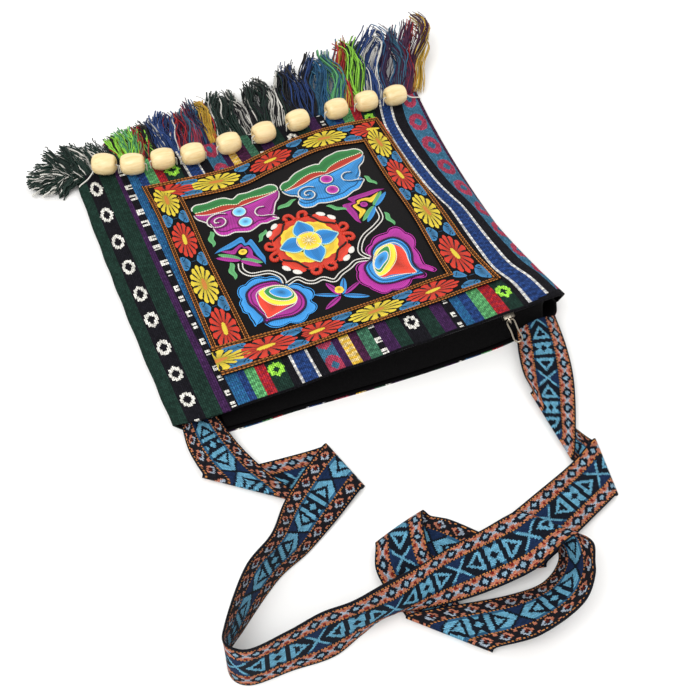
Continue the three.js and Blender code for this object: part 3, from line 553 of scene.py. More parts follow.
def smooth_rows(scale, rows, place):
    """Smooth values of a table's rows at places on its own scale, by cubic pieces between the rows."""
    index = np.arange(len(scale))
    before = np.maximum(index - 1, 0)
    after = np.minimum(index + 1, len(scale) - 1)
    slopes = (rows[after] - rows[before]) / (scale[after] - scale[before])[:, None]
    i = np.clip(np.searchsorted(scale, place) - 1, 0, len(scale) - 2)
    span = (scale[i + 1] - scale[i])[..., None]
    t = (place - scale[i])[..., None] / span
    return cubic(rows[i], slopes[i] * span, rows[i + 1], slopes[i + 1] * span, t)


def smooth_table(table, place):
    """Smooth values of a table of places and values."""
    rows = np.array(table, float)
    return smooth_rows(rows[:, 0], rows[:, 1:], place)[..., 0]


def cubic(start, start_slope, end, end_slope, t):
    """A cubic piece from its ends and their slopes."""
    return (start * (2 * t**3 - 3 * t**2 + 1) + start_slope * (t**3 - 2 * t**2 + t)
            + end * (3 * t**2 - 2 * t**3) + end_slope * (t**3 - t**2))


def through(points, places):
    """Points at places on a smooth curve through the given ones, the k-th of them being at place k."""
    points = np.asarray(points, float)
    padded = np.vstack([2 * points[0] - points[1], points, 2 * points[-1] - points[-2]])
    return centripetal(padded, places)


def centripetal(padded, places):
    """Points on the smooth curve through all but the first and last of the given points."""
    i = np.clip(np.floor(places).astype(int), 0, len(padded) - 4)
    p0, p1, p2, p3 = (padded[i + k] for k in range(4))
    d0, d1, d2 = (np.sqrt(np.linalg.norm(q - p, axis=1, keepdims=True)) + 1e-9
                  for p, q in ((p0, p1), (p1, p2), (p2, p3)))
    start = ((p1 - p0) / d0 - (p2 - p0) / (d0 + d1) + (p2 - p1) / d1) * d1
    end = ((p2 - p1) / d1 - (p3 - p1) / (d1 + d2) + (p3 - p2) / d2) * d1
    return cubic(p1, start, p2, end, (places - i)[:, None])


def line_of(points, count):
    """Evenly spaced points on a smooth open curve through the given ones."""
    return even(through(points, np.linspace(0, len(points) - 1, 12 * len(points))), count)


def outline_of(points, count):
    """Evenly spaced points on a smooth closed curve through the given ones, the first again at the end."""
    points = np.asarray(points, float)
    padded = np.vstack([points[-1], points, points[0], points[1]])
    return even(centripetal(padded, np.linspace(0, len(points), 12 * len(points))), count)


def lengths(points):
    """Distance along a row of points, at each of them."""
    return np.concatenate([[0], np.cumsum(np.linalg.norm(np.diff(points, axis=0), axis=1))])


def even(points, count):
    """The same row of points with even spacing."""
    along = lengths(points)
    places = np.linspace(0, along[-1], count)
    return np.stack([np.interp(places, along, column) for column in points.T], 1)


def unit(vectors):
    """The same vectors at a length of one."""
    return vectors / np.maximum(np.linalg.norm(vectors, axis=-1, keepdims=True), 1e-12)


def heading(angle):
    """Flat unit vectors at angles from the first axis."""
    return np.stack([np.cos(angle), np.sin(angle)], -1)


def from_nearest(place, pitch):
    """Signed distance of places from the nearest repeat of a pitch."""
    return (place + pitch / 2) % pitch - pitch / 2


def front_point(across, along):
    """Points of the front wall's outer face."""
    v = along[..., None]
    return (smooth_rows(ACROSS, MOUTH_RIM, across) * (1 - v) * (1 - 2 * v)
            + smooth_rows(ACROSS, BELLY, across) * 4 * v * (1 - v)
            + smooth_rows(ACROSS, FAR_EDGE, across) * v * (2 * v - 1))


def back_point(across, along):
    """Points of the back wall's underside."""
    rim = smooth_rows(ACROSS, BACK_RIM, across)[..., 1]
    far = smooth_rows(ACROSS, FAR_EDGE, across)[..., 1]
    x = front_point(across, along)[..., 0]
    return np.stack([x, rim + (far - rim) * along, np.zeros_like(x)], -1)


def lifted(surface, p, q, height, step):
    """Points at a height along the normal of a surface."""
    along_p = surface(p + step, q) - surface(p - step, q)
    along_q = surface(p, q + step) - surface(p, q - step)
    return surface(p, q) + unit(np.cross(along_p, along_q)) * np.asarray(height)[..., None]


def square_point(x, y):
    """Points of the front wall under places on the flat square, given in millimetres from its middle."""
    left = ((1 - x / HALF_SQUARE) / 2)[..., None]
    near = ((1 - y / HALF_SQUARE) / 2)[..., None]
    corner = {name: np.array(place) for name, place in SQUARE.items()}
    place = ((corner["far_left"] * left + corner["far_right"] * (1 - left)) * (1 - near)
             + (corner["near_left"] * left + corner["near_right"] * (1 - left)) * near)
    return front_point(place[..., 0], place[..., 1])


def on_square(flat):
    """Flat places x, y and height, in millimetres, brought on to the square."""
    return lifted(square_point, flat[..., 0], flat[..., 1], flat[..., 2] * MM, 0.5)


def in_place(points):
    """The same points, for work that is already in its place."""
    return points


def zip_point(p, w):
    """Points of the zip: p runs along the mouth, w from the front rim to the back one."""
    x = ZIP_FROM + (ZIP_TO - ZIP_FROM) * p
    rim = smooth_rows(MOUTH_RIM[:, 0], MOUTH_RIM, x)
    back = smooth_rows(BACK_RIM[:, 0], BACK_RIM, x)
    top = np.stack([rim[..., 1] + TAPE_INSET, rim[..., 2] - TAPE_DROP], -1)
    foot = np.stack([back[..., 1] + TAPE_INSET, np.full_like(x, BACK_CLOTH + TAPE)], -1)
    deepest = np.maximum(top[..., 0], foot[..., 0]) + TAPE_TUCK
    tuck = np.stack([deepest, (top[..., 1] + foot[..., 1]) / 2], -1)
    w = np.asarray(w)[..., None]
    y_z = top * (1 - w)**2 + tuck * 2 * w * (1 - w) + foot * w**2
    return np.concatenate([x[..., None], y_z], -1)


# Meshes


def dress(mesh, face_dyes, face_uvs):
    """Gives each face of a mesh its dye, and each of its corners a place on the flat cloth."""
    starts = np.empty(len(mesh.polygons), int)
    totals = np.empty(len(mesh.polygons), int)
    mesh.polygons.foreach_get("loop_start", starts)
    mesh.polygons.foreach_get("loop_total", totals)
    colours = np.ones((len(mesh.loops), 4), np.float32)
    colours[:, :3] = np.repeat(face_dyes, totals, axis=0)
    mesh.color_attributes.new("dye", "FLOAT_COLOR", "CORNER").data.foreach_set("color", colours.ravel())
    corners = np.empty(len(mesh.loops), int)
    mesh.loops.foreach_get("vertex_index", corners)
    mesh.uv_layers.new(name="weave").data.foreach_set("uv", face_uvs[corners].astype(np.float32).ravel())


def into_scene(name, data):
    """A new object of a mesh, a light or a camera, in the scene."""
    made = bpy.data.objects.new(name, data)
    bpy.context.scene.collection.objects.link(made)
    return made


def smooth_object(name, mesh, finish):
    """A smooth-shaded object of a mesh, in the scene and on the bag."""
    mesh.polygons.foreach_set("use_smooth", np.ones(len(mesh.polygons), bool))
    mesh.materials.append(finish)
    made = into_scene(name, mesh)
    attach(made, BAG)
    return made


def grid_mesh(name, points):
    """A mesh over rows and columns of points, started as a plain grid."""
    rows, columns = points.shape[:2]
    bm = bmesh.new()
    bmesh.ops.create_grid(bm, x_segments=columns - 1, y_segments=rows - 1, size=1)
    mesh = bpy.data.meshes.new(name)
    bm.to_mesh(mesh)
    bm.free()
    mesh.vertices.foreach_set("co", points.reshape(-1).astype(np.float32))
    mesh.update()
    return mesh


def cloth(name, points, uvs, dye_at, finish, thick, lining=None):
    """A sheet of cloth over a grid of points, dyed cell by cell from its flat places, with its own lining."""
    mesh = grid_mesh(name, points)
    middle = (uvs[:-1, :-1] + uvs[1:, 1:]) / 2
    dress(mesh, dye_at(middle[..., 0].ravel(), middle[..., 1].ravel()), uvs.reshape(-1, 2))
    made = smooth_object(name, mesh, finish)
    wall = made.modifiers.new("Thickness", "SOLIDIFY")
    wall.thickness = thick
    wall.offset = -1
    if lining is not None:
        mesh.materials.append(lining)
        wall.material_offset = 1
    return made


def plain_dye(colour):
    """A function that gives every place of a cloth the same dye."""
    return lambda u, v: np.tile(colour, (len(u), 1))


class Needlework:
    """Many small grids gathered for one mesh, each with its own points and dye."""

    def __init__(self):
        self.points = []
        self.faces = []
        self.dyes = []
        self.uvs = []
        self.count = 0

    def add(self, points, colour, uvs, keep=None):
        """Adds one grid, dyed whole or face by face, with only the faces that touch kept points."""
        rows, columns = points.shape[:2]
        number = np.arange(rows * columns).reshape(rows, columns) + self.count
        corners = np.stack([number[:-1, :-1], number[:-1, 1:], number[1:, 1:], number[1:, :-1]], -1)
        colours = np.broadcast_to(colour, (rows - 1, columns - 1, 3))
        if keep is not None:
            kept = keep[:-1, :-1] | keep[:-1, 1:] | keep[1:, 1:] | keep[1:, :-1]
            corners, colours = corners[kept], colours[kept]
        self.faces.append(corners.reshape(-1, 4))
        self.dyes.append(colours.reshape(-1, 3))
        self.points.append(points.reshape(-1, 3))
        self.uvs.append(uvs.reshape(-1, 2))
        self.count += rows * columns

    def sewn(self, name, finish, place):
        """The gathered grids as one object, with the seams of closed shapes welded."""
        mesh = bpy.data.meshes.new(name)
        mesh.from_pydata(place(np.concatenate(self.points)), [], np.concatenate(self.faces))
        dress(mesh, np.concatenate(self.dyes), np.concatenate(self.uvs))
        bm = bmesh.new()
        bm.from_mesh(mesh)
        loose = [vert for vert in bm.verts if not vert.link_faces]
        bmesh.ops.delete(bm, geom=loose, context="VERTS")
        bmesh.ops.remove_doubles(bm, verts=bm.verts, dist=WELD)
        bmesh.ops.recalc_face_normals(bm, faces=bm.faces)
        bm.to_mesh(mesh)
        bm.free()
        return smooth_object(name, mesh, finish)


def tube(path, radii, sides, up):
    """Rings of points round a path, drawn in where the radius is small, with places round and along it."""
    way = unit(np.gradient(path, axis=0))
    side = unit(np.cross(way, up))
    over = np.cross(side, way)
    turn = np.linspace(0, 2 * math.pi, sides + 1)
    radii = np.broadcast_to(radii, len(path))[:, None, None]
    ring = np.cos(turn)[None, :, None] * side[:, None] + np.sin(turn)[None, :, None] * over[:, None]
    round_place = np.broadcast_to(turn, (len(path), sides + 1))
    along_place = np.broadcast_to(lengths(path)[:, None], (len(path), sides + 1))
    return path[:, None] + ring * radii, np.stack([round_place, along_place], -1)


def raised(first, second, low, rise, crest):
    """A padded fill from one row of flat points to another, highest where the share across is crest."""
    share = np.linspace(0, 1, 7)
    climb = np.where(share <= crest, share / crest, (1 - share) / max(1 - crest, 1e-9))
    height = low + rise * np.sqrt(np.clip(climb * (2 - climb), 0, 1))
    flat = first * (1 - share[:, None, None]) + second * share[:, None, None]
    points = np.concatenate([flat, np.broadcast_to(height[:, None, None], flat.shape[:2] + (1,))], -1)
    width = np.linalg.norm(second - first, axis=1).mean()
    along_place = np.broadcast_to(lengths(first), flat.shape[:2])
    across_place = np.broadcast_to(share[:, None] * width, flat.shape[:2])
    return points, np.stack([across_place, along_place], -1)


def leaf(base, tip, half_wide, low, rise, wave=0, fullness=0.6):
    """A pointed leaf of slanting stitches from its base to its tip."""
    base = np.asarray(base, float)
    along = np.asarray(tip, float) - base
    length = np.linalg.norm(along)
    way = along / length
    side = np.array((-way[1], way[0]))
    share = np.linspace(0, 1, 13)[None, :]
    across = np.linspace(-1, 1, 7)[:, None]
    width = half_wide * np.sin(math.pi * share**0.85) ** fullness
    bend = wave * np.sin(2 * math.pi * share * 1.5)
    offset = across * width + bend
    flat = base + share[..., None] * along + offset[..., None] * side
    height = low + rise * np.sqrt(np.clip(1 - across**2, 0, 1)) * np.sin(math.pi * share) ** 0.4
    points = np.concatenate([flat, height[..., None]], -1)
    thread = share * length + 0.6 * offset
    return points, np.stack([offset, thread], -1)


# Materials


def node(finish, kind, settings=None, inputs=None):
    """Adds a shader node with its settings and inputs, each input a value or a (node, output) link."""
    made = finish.node_tree.nodes.new("ShaderNode" + kind)
    for name, value in (settings or {}).items():
        setattr(made, name, value)
    for socket, value in (inputs or {}).items():
        if isinstance(value, tuple) and isinstance(value[0], bpy.types.Node):
            finish.node_tree.links.new(value[0].outputs[value[1]], made.inputs[socket])
        else:
            made.inputs[socket].default_value = value
    return made


def new_finish(name):
    """A fresh material with no nodes."""
    finish = bpy.data.materials.new(name)
    finish.use_nodes = True
    finish.node_tree.nodes.clear()
    return finish


def close_finish(finish, inputs):
    """Gives a material its surface, with the inputs of that."""
    surface = node(finish, "BsdfPrincipled", inputs=inputs)
    node(finish, "OutputMaterial", inputs={"Surface": (surface, "BSDF")})
    return finish


def woven_cotton(name, warp, float_long, roughness):
    """Hand-loom cotton or webbing: dull yarns that pass over and under each other in short floats of random
    tones, with painted shade in the gaps between the floats.
    """
    finish = new_finish(name)
    colour = node(finish, "Attribute", {"attribute_name": "dye"})
    place = node(finish, "UVMap", {"uv_map": "weave"})
    turned = node(finish, "Mapping", inputs={
        "Vector": (place, "UV"), "Rotation": (0, 0, math.pi / 2)})
    # Floats at random lighter and darker tones of the dye; the mortar between them is painted shade in the
    # gaps
    floats = node(finish, "TexBrick", {"offset": 0.5, "squash": 1}, {
        "Vector": (turned, "Vector"), "Color1": (0.72, 0.72, 0.72, 1), "Color2": (1.25, 1.25, 1.25, 1),
        "Mortar": (0.4, 0.4, 0.4, 1), "Scale": 1, "Mortar Size": warp * 0.16, "Mortar Smooth": 1,
        "Brick Width": float_long, "Row Height": warp})
    patches = node(finish, "TexNoise", inputs={"Vector": (place, "UV"), "Scale": 0.09, "Detail": 3})
    fade = node(finish, "MapRange", inputs={"Value": (patches, "Fac"), 3: 0.8, 4: 1.2})
    toned_and_shaded = node(finish, "Mix", {"data_type": "RGBA", "blend_type": "MULTIPLY"}, {
        0: 1.0, 6: (colour, "Color"), 7: (floats, "Color")})
    faded = node(finish, "VectorMath", {"operation": "SCALE"}, {
        0: (toned_and_shaded, 2), "Scale": (fade, "Result")})
    depth = node(finish, "Math", {"operation": "SUBTRACT"}, {0: 1.0, 1: (floats, "Fac")})
    bump = node(finish, "Bump", inputs={
        "Strength": 0.7, "Distance": 0.0006, "Height": (depth, "Value")})
    return close_finish(finish, {
        "Base Color": (faded, "Vector"), "Roughness": roughness, "IOR": 1.5, "Specular IOR Level": 0.1,
        "Normal": (bump, "Normal")})


def rayon_thread(name, pitch):
    """Rayon or cotton thread: softly glossy strands side by side, each painted lighter along its crest and
    darker beside the next, drawn coarser than 0.4 mm to show.
    """
    finish = new_finish(name)
    colour = node(finish, "Attribute", {"attribute_name": "dye"})
    place = node(finish, "UVMap", {"uv_map": "weave"})
    strands = node(finish, "TexWave", {"wave_type": "BANDS", "bands_direction": "Y"}, {
        "Vector": (place, "UV"), "Scale": 0.314 / pitch, "Distortion": 0.6, "Detail": 1, "Detail Scale": 1})
    # Painted shade: each strand lighter along its raised crest and darker where it dips beside the next
    shade = node(finish, "MapRange", inputs={"Value": (strands, "Fac"), 3: 0.76, 4: 1.1})
    shaded = node(finish, "VectorMath", {"operation": "SCALE"}, {
        0: (colour, "Color"), "Scale": (shade, "Result")})
    bump = node(finish, "Bump", inputs={
        "Strength": 0.5, "Distance": 0.0003, "Height": (strands, "Fac")})
    return close_finish(finish, {
        "Base Color": (shaded, "Vector"), "Roughness": 0.5, "IOR": 1.47, "Specular IOR Level": 0.3,
        "Normal": (bump, "Normal")})


def black_satin(name, shown):
    """Polyester satin: a smooth dark cloth with a soft broken gloss; as a lining duller, and painted darker
    for the shade inside the bag.
    """
    finish = new_finish(name)
    place = node(finish, "UVMap", {"uv_map": "weave"})
    slubs = node(finish, "Mapping", inputs={"Vector": (place, "UV"), "Scale": (1.6, 0.25, 1)})
    grain = node(finish, "TexNoise", inputs={
        "Vector": (slubs, "Vector"), "Scale": 1.0, "Detail": 3})
    gloss = node(finish, "MapRange", inputs={"Value": (grain, "Fac"), 3: 0.36, 4: 0.6})
    bump = node(finish, "Bump", inputs={
        "Strength": 0.25, "Distance": 0.0003, "Height": (grain, "Fac")})
    # The lining's darker black is painted shade of the bag's inside
    black, shine = ("#0d0b0c", 0.09) if shown else ("#060506", 0.03)
    return close_finish(finish, {
        "Base Color": (*linear(black), 1), "Roughness": (gloss, "Result"), "IOR": 1.5,
        "Specular IOR Level": shine, "Normal": (bump, "Normal")})


def turned_wood(name):
    """Pale varnished wood turned on a lathe: fine grain lines under a thin clear coat."""
    finish = new_finish(name)
    place = node(finish, "TexCoord")
    drawn = node(finish, "Mapping", inputs={"Vector": (place, "Object"), "Scale": (60, 420, 420)})
    grain = node(finish, "TexNoise", inputs={
        "Vector": (drawn, "Vector"), "Scale": 1.0, "Detail": 4, "Distortion": 0.6})
    tone = node(finish, "ValToRGB", inputs={"Fac": (grain, "Fac")})
    tone.color_ramp.elements[0].position = 0.3
    tone.color_ramp.elements[0].color = (*linear("#e0c288"), 1)
    tone.color_ramp.elements[1].position = 0.62
    tone.color_ramp.elements[1].color = (*linear("#eed6a2"), 1)
    bump = node(finish, "Bump", inputs={
        "Strength": 0.05, "Distance": 0.0003, "Height": (grain, "Fac")})
    return close_finish(finish, {
        "Base Color": (tone, "Color"), "Roughness": 0.42, "IOR": 1.5, "Coat Weight": 0.35,
        "Coat Roughness": 0.25, "Normal": (bump, "Normal")})


def nickel_plate(name):
    """Nickel-plated zinc and wire: a warm bright metal with fine tumbling marks."""
    finish = new_finish(name)
    place = node(finish, "TexCoord")
    marks = node(finish, "TexNoise", inputs={
        "Vector": (place, "Object"), "Scale": 900, "Detail": 3})
    gloss = node(finish, "MapRange", inputs={"Value": (marks, "Fac"), 3: 0.22, 4: 0.4})
    return close_finish(finish, {
        "Base Color": (*linear("#a39b8c"), 1), "Metallic": 1.0, "Roughness": (gloss, "Result")})


def nylon_coil(name):
    """Black nylon: a smooth dark plastic wire with a soft gloss."""
    finish = new_finish(name)
    place = node(finish, "TexCoord")
    wear = node(finish, "TexNoise", inputs={"Vector": (place, "Object"), "Scale": 400, "Detail": 2})
    gloss = node(finish, "MapRange", inputs={"Value": (wear, "Fac"), 3: 0.3, 4: 0.5})
    return close_finish(finish, {
        "Base Color": (*linear("#1b1b1f"), 1), "Roughness": (gloss, "Result"), "IOR": 1.53})


def matt_floor(name):
    """Matt white studio paper with no marks."""
    finish = new_finish(name)
    place = node(finish, "TexCoord")
    tooth = node(finish, "TexNoise", inputs={
        "Vector": (place, "Object"), "Scale": 300, "Detail": 2})
    bump = node(finish, "Bump", inputs={
        "Strength": 0.02, "Distance": 0.0002, "Height": (tooth, "Fac")})
    return close_finish(finish, {
        "Base Color": (*linear("#f4f3f1"), 1), "Roughness": 0.9, "Specular IOR Level": 0.1,
        "Normal": (bump, "Normal")})


# Strap


def strap_ends():
    """Edge points and cups of the strap's rungs, with each fold drawn out to three, and which are folds."""
    starts, ends, cups, folds = [], [], [], []
    before = None
    for *edges, cup, turn in STRAP_RUNGS:
        a, b = np.reshape(edges, (2, 3)) * MM
        middle = (a + b) / 2
        shifts = [np.zeros(3)]
        if turn:
            across = unit((b - a) * (1, 1, 0))
            outwards = np.array((-across[1], across[0], 0))
            if outwards @ (middle - before) < 0:
                outwards = -outwards
            shifts = [STRAP_FOLD * (UP * rise + outwards * reach)
                      for rise, reach in ((-turn, 0), (0, 1), (turn, 0))]
        for shift in shifts:
            starts.append(a + shift)
            ends.append(b + shift)
            cups.append(cup * MM)
            folds.append(turn != 0)
        before = middle
    return np.array(starts), np.array(ends), np.array(cups), np.array(folds)


def strap_lines(cell):
    """The strap's two edges and its cup at even steps, with the length there and how far edge b leads."""
    starts, ends, cups, folds = strap_ends()
    rungs = np.arange(len(starts))
    fine = np.linspace(0, rungs[-1], RUNG_STEPS * rungs[-1] + 1)
    a, b = through(starts, fine), through(ends, fine)
    for edge in (a, b):
        edge[:, 2] = np.maximum(edge[:, 2], STRAP_LOWEST)
    middle = (a + b) / 2
    lead = np.sum((b - a) * unit(np.gradient(middle, axis=0)), axis=1)
    longer = lengths(b) - lengths(a)
    plain = rungs[~folds] * RUNG_STEPS
    lead_now = longer - np.interp(np.arange(len(fine)), plain, (longer - lead)[plain])
    along = lengths(middle)
    places = np.linspace(0, along[-1], int(along[-1] / cell) + 1)
    columns = np.column_stack([a, b, np.interp(fine, rungs, cups), lead_now])
    columns = np.stack([np.interp(places, along, column) for column in columns.T], 1)
    return columns[:, :3], columns[:, 3:6], columns[:, 6], places, columns[:, 7]


# Strap pattern, in millimetres along one repeat and across the strap from its middle
REPEAT = 48.0
MIDDLE_HALF = 8.3
MIDDLE_DEEP = 6.6
CROSS = Sizes(half_long=7.5, half_stroke=1.15)
HOUSE = Sizes(
    start=5.6, to=16.4, long=10.0, half_wide=7.4, wall=2.1, floor=14.2,
    tooth=0.55, tooth_pitch=1.9, tooth_half=0.5,
)
BAR = Sizes(start=19.4, spot_wide=2.6, spot_long=3.0, notch_wide=4.5, notch_long=3.4)
BORDER = Sizes(start=9.2, middle=13.3, to=17.4)
DIAMOND = Sizes(
    pitch=12.0, half_wide=3.2, half_long=4.1, outside=1.25, heart=0.55,
    ring_outside=1.05, ring_inside=0.6, ring_lit=-0.4, core=0.35,
)
BOW = Sizes(half_long=2.6, waist=0.7, flare=0.55)
SPOT = Sizes(aside=3.1, half_wide=0.75, half_long=1.1)
EDGE_LINES = Sizes(places=(8.75, 17.8), half_wide=0.5, pitch=2.2, long=1.1)


def strap_figure(x, y):
    """True where the strap's middle shows the blue figure of its orange face."""
    q = np.abs(from_nearest(y, REPEAT))
    side = np.abs(x)
    stroke = np.abs(side - MIDDLE_HALF * q / CROSS.half_long) < CROSS.half_stroke
    cross = (q < CROSS.half_long) & stroke
    roof = HOUSE.half_wide * (q - HOUSE.start) / HOUSE.long
    from_tooth = np.abs(y % HOUSE.tooth_pitch - HOUSE.tooth_pitch / 2)
    tooth = HOUSE.tooth * (from_tooth < HOUSE.tooth_half)
    inner = (side < roof - HOUSE.wall - tooth) & (q < HOUSE.floor)
    house = (q > HOUSE.start) & (q < HOUSE.to) & (side < roof) & ~inner
    from_middle = REPEAT / 2 - q
    spot = side / BAR.spot_wide + from_middle / BAR.spot_long < 1
    notch = (MIDDLE_HALF - side) / BAR.notch_wide + from_middle / BAR.notch_long < 1
    return cross | house | ((q > BAR.start) & ~spot & ~notch)


def strap_dyes(x, y, orange_face):
    """The strap's woven colours at flat places, on its orange face or on the dark one."""
    colour = dyes()
    side = np.abs(x)
    q = np.abs(from_nearest(y, REPEAT))
    found = np.tile(colour["strap_dark"], (len(x), 1))
    middle = side < MIDDLE_HALF
    figure = middle & (strap_figure(x, y) == orange_face)
    found[figure] = colour["strap_blue"]
    found[figure & (side > MIDDLE_DEEP)] = colour["strap_deep"]
    past_cross = side > MIDDLE_HALF * q / CROSS.half_long + CROSS.half_stroke
    found[middle & (q < CROSS.half_long) & past_cross] = colour["strap_navy"]
    border = (side > BORDER.start) & (side < BORDER.to)
    dx = side - BORDER.middle
    dy = from_nearest(y, DIAMOND.pitch)
    gap = DIAMOND.pitch / 2 - np.abs(dy)
    diamond = np.abs(dx) / DIAMOND.half_wide + np.abs(dy) / DIAMOND.half_long
    bow = (gap < BOW.half_long) & (np.abs(dx) < BOW.waist + BOW.flare * gap)
    spot = (np.abs(np.abs(dx) - SPOT.aside) < SPOT.half_wide) & (gap < SPOT.half_long)
    ring = (diamond < DIAMOND.ring_outside) & (diamond > DIAMOND.ring_inside)
    ring_lit = ring & (dx * np.sign(x) + dy < DIAMOND.ring_lit)
    faces = {
        True: ((bow, colour["strap_grey"]), (spot, colour["strap_maroon"]),
               (diamond < DIAMOND.outside, colour["strap_dark"]),
               (diamond < DIAMOND.heart, (colour["strap_grey"] + colour["strap_blue"]) / 2)),
        False: ((spot, colour["strap_orange"]), (ring, colour["strap_grey"]),
                (ring_lit, colour["strap_orange"]),
                (diamond < DIAMOND.core, colour["strap_maroon"] * 0.4)),
    }
    found[border] = colour["strap_orange" if orange_face else "black"]
    for figure, thread in faces[orange_face]:
        found[border & figure] = thread
    dashes = y % EDGE_LINES.pitch < EDGE_LINES.long
    for line in EDGE_LINES.places:
        found[(np.abs(side - line) < EDGE_LINES.half_wide) & dashes] = colour["strap_gold"]
    return found


def make_strap(sizes):
    """The two-faced strap as one closed band along its rungs."""
    a, b, cup, along, lead = strap_lines(sizes.strap_cell)
    columns = int(STRAP_WIDTH * MM / sizes.strap_cell) + 1
    share = np.linspace(0, 1, columns)
    across = share[None, :, None]
    flat = a[:, None] * (1 - across) + b[:, None] * across
    way = unit(np.gradient((a + b) / 2, axis=0))
    face = unit(np.cross(b - a, way))[:, None]
    flat = flat + face * (cup[:, None] * 4 * share * (1 - share))[..., None]
    half = face * sizes.strap_thick / 2
    under = (flat - half)[:, ::-1]
    over = flat + half
    loop = np.concatenate([over, under, over[:, :1]], 1)
    x = (share - 0.5) * STRAP_WIDTH
    y = along[:, None] / MM + (share - 0.5) * lead[:, None] / MM
    uv_over = np.stack([np.broadcast_to(x, y.shape), y], -1)
    uv_loop = np.concatenate([uv_over, uv_over[:, ::-1], uv_over[:, :1]], 1)
    mesh = grid_mesh("strap_band", loop)
    middle = (uv_loop[:-1, :-1] + uv_loop[1:, 1:]) / 2
    found = np.zeros(middle.shape[:2] + (3,))
    spans = {True: slice(0, columns - 1), False: slice(columns, 2 * columns - 1)}
    for orange_face, span in spans.items():
        cells = middle[:, span]
        painted = strap_dyes(cells[..., 0].ravel(), cells[..., 1].ravel(), orange_face)
        found[:, span] = painted.reshape(cells.shape[:2] + (3,))
    found[:, [columns - 1, 2 * columns - 1]] = dyes()["black"]
    dress(mesh, found.reshape(-1, 3), uv_loop.reshape(-1, 2))
    bm = bmesh.new()
    bm.from_mesh(mesh)
    bmesh.ops.remove_doubles(bm, verts=bm.verts, dist=WELD)
    open_edges = [edge for edge in bm.edges if edge.is_boundary]
    bmesh.ops.holes_fill(bm, edges=open_edges, sides=0)
    bmesh.ops.recalc_face_normals(bm, faces=bm.faces)
    bm.to_mesh(mesh)
    bm.free()
    webbing = woven_cotton("Jacquard webbing", warp=0.9, float_long=1.8, roughness=0.75)
    strap = smooth_object("strap_band", mesh, webbing)
    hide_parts("strap")


# Loom cloth


def cloth_dyes(x, v, hem=None):
    """The loom cloth's colours at flat places, in millimetres from the left seam and from the mouth."""
    colour = dyes()
    draw = np.random.default_rng(4)
    share = v / CLOTH_LONG
    edges = np.stack([near * (1 - share) + far * share for near, far, _, _ in STRIPES], 1)
    stripe = np.minimum((x[:, None] > edges).sum(1), len(STRIPES) - 1)
    found = np.array([colour[row[2]] for row in STRIPES])[stripe]
    for number, (_, _, ground, figure) in enumerate(STRIPES):
        cells = np.flatnonzero(stripe == number)
        if len(cells) == 0:
            continue
        left = edges[cells, number - 1] if number else np.zeros(len(cells))
        dx = x[cells] - (left + edges[cells, number]) / 2
        found[cells] = figured(found[cells], dx, v[cells], ground, figure, colour)
    depth = np.interp(x, *np.transpose(HEM)) if hem is None else hem
    # The hem's black cotton, painted darker as shade along the rim
    found[v < depth] = colour["black"] * HEM_PAINTED_SHADE
    return found * draw.uniform(*CELL_SHADES, (len(x), 1))


def back_dyes(x, v):
    """The back wall's colours, right up to the mouth."""
    return cloth_dyes(x, v, 0)


def soft_wave(place, name):
    """One of the soft waves of a wall's edges, at places along it."""
    drift = RUMPLE[name + "_drift"] * np.sin(place / RUMPLE[name + "_slow"])
    return RUMPLE[name] * MM * np.sin(2 * math.pi * place / RUMPLE[name + "_pitch"] + drift)


def rumpled(uvs):
    """Shifts in x and z that leave a wall's left seam and mouth rim softly uneven."""
    x, v = uvs[..., 0], uvs[..., 1]
    shift_x = soft_wave(v, "seam") * np.exp(-x / RUMPLE["seam_deep"])
    shift_z = soft_wave(x, "rim") * np.exp(-v / RUMPLE["rim_deep"]) * np.sin(math.pi * x / CLOTH_WIDE)
    return np.stack([shift_x, np.zeros_like(x), shift_z], -1)


def figured(found, dx, v, ground, figure, colour):
    """A stripe's cells with its woven figures in them."""
    row = np.interp(v, FIGURE_ROWS, np.arange(len(FIGURE_ROWS)))
    if ground in TICK.dye:
        slant = np.floor((v + dx) / TICK.long)
        ticks = (np.floor(dx / TICK.wide) + slant) % 2 == 0
        found[ticks] = found[ticks] * (1 - TICK.share) + colour[TICK.dye[ground]] * TICK.share
    if figure == "check":
        for place in BLOCK.places:
            dv = from_nearest(row - place, 1) * REPEAT_LONG
            block = (np.abs(dx) < BLOCK.half_wide) & (np.abs(dv) < BLOCK.half_long)
            cut = np.abs(dv - BLOCK.notch_at) < BLOCK.notch_half
            notch = cut & (dx * (place - 0.5) > BLOCK.notch_from)
            found[block & ~notch] = colour["white"]
    if figure in FIGURES:
        half_wide, half_long, inner, ragged, place, thread = FIGURES[figure]
        dv = from_nearest(row - place, 1) * REPEAT_LONG
        radius = np.hypot(dx / half_wide, dv / half_long)
        turn = np.arctan2(dv / half_long, dx / half_wide)
        reach = RING.reach + ragged * np.cos(RING.points * turn)
        hole = inner * (1 + RING.hole_ragged * ragged * np.cos(RING.points / 2 * turn))
        found[(radius > hole) & (radius < reach)] = colour[thread]
    return found


def flat_places(wide, long, cell):
    """Rows and columns of shares across and along a sheet, with cells of about the given size."""
    columns = int(wide * MM / cell) + 1
    rows = int(long * MM / cell) + 1
    return np.meshgrid(np.linspace(0, 1, columns), np.linspace(0, 1, rows))


# Width of a stripe's cells by kind of stripe, as multiples of the cell size
CELL_WIDE = {"plain": 2.8, "tick": 1.6, "figured": 0.92}


def stripe_columns(cell):
    """Places of the cloth's columns at the mouth and at the fringe, so that no cell straddles two stripes."""
    columns = [np.zeros((1, 2))]
    left = np.zeros(2)
    for near, far, ground, figure in STRIPES:
        right = np.minimum((near, far), CLOTH_WIDE)
        kind = "figured" if figure else "tick" if ground in TICK.dye else "plain"
        count = max(round((right - left).mean() * MM / cell / CELL_WIDE[kind]), 1)
        columns.append(left + (right - left) * (np.arange(count) + 1)[:, None] / count)
        left = right
    return np.concatenate(columns).T


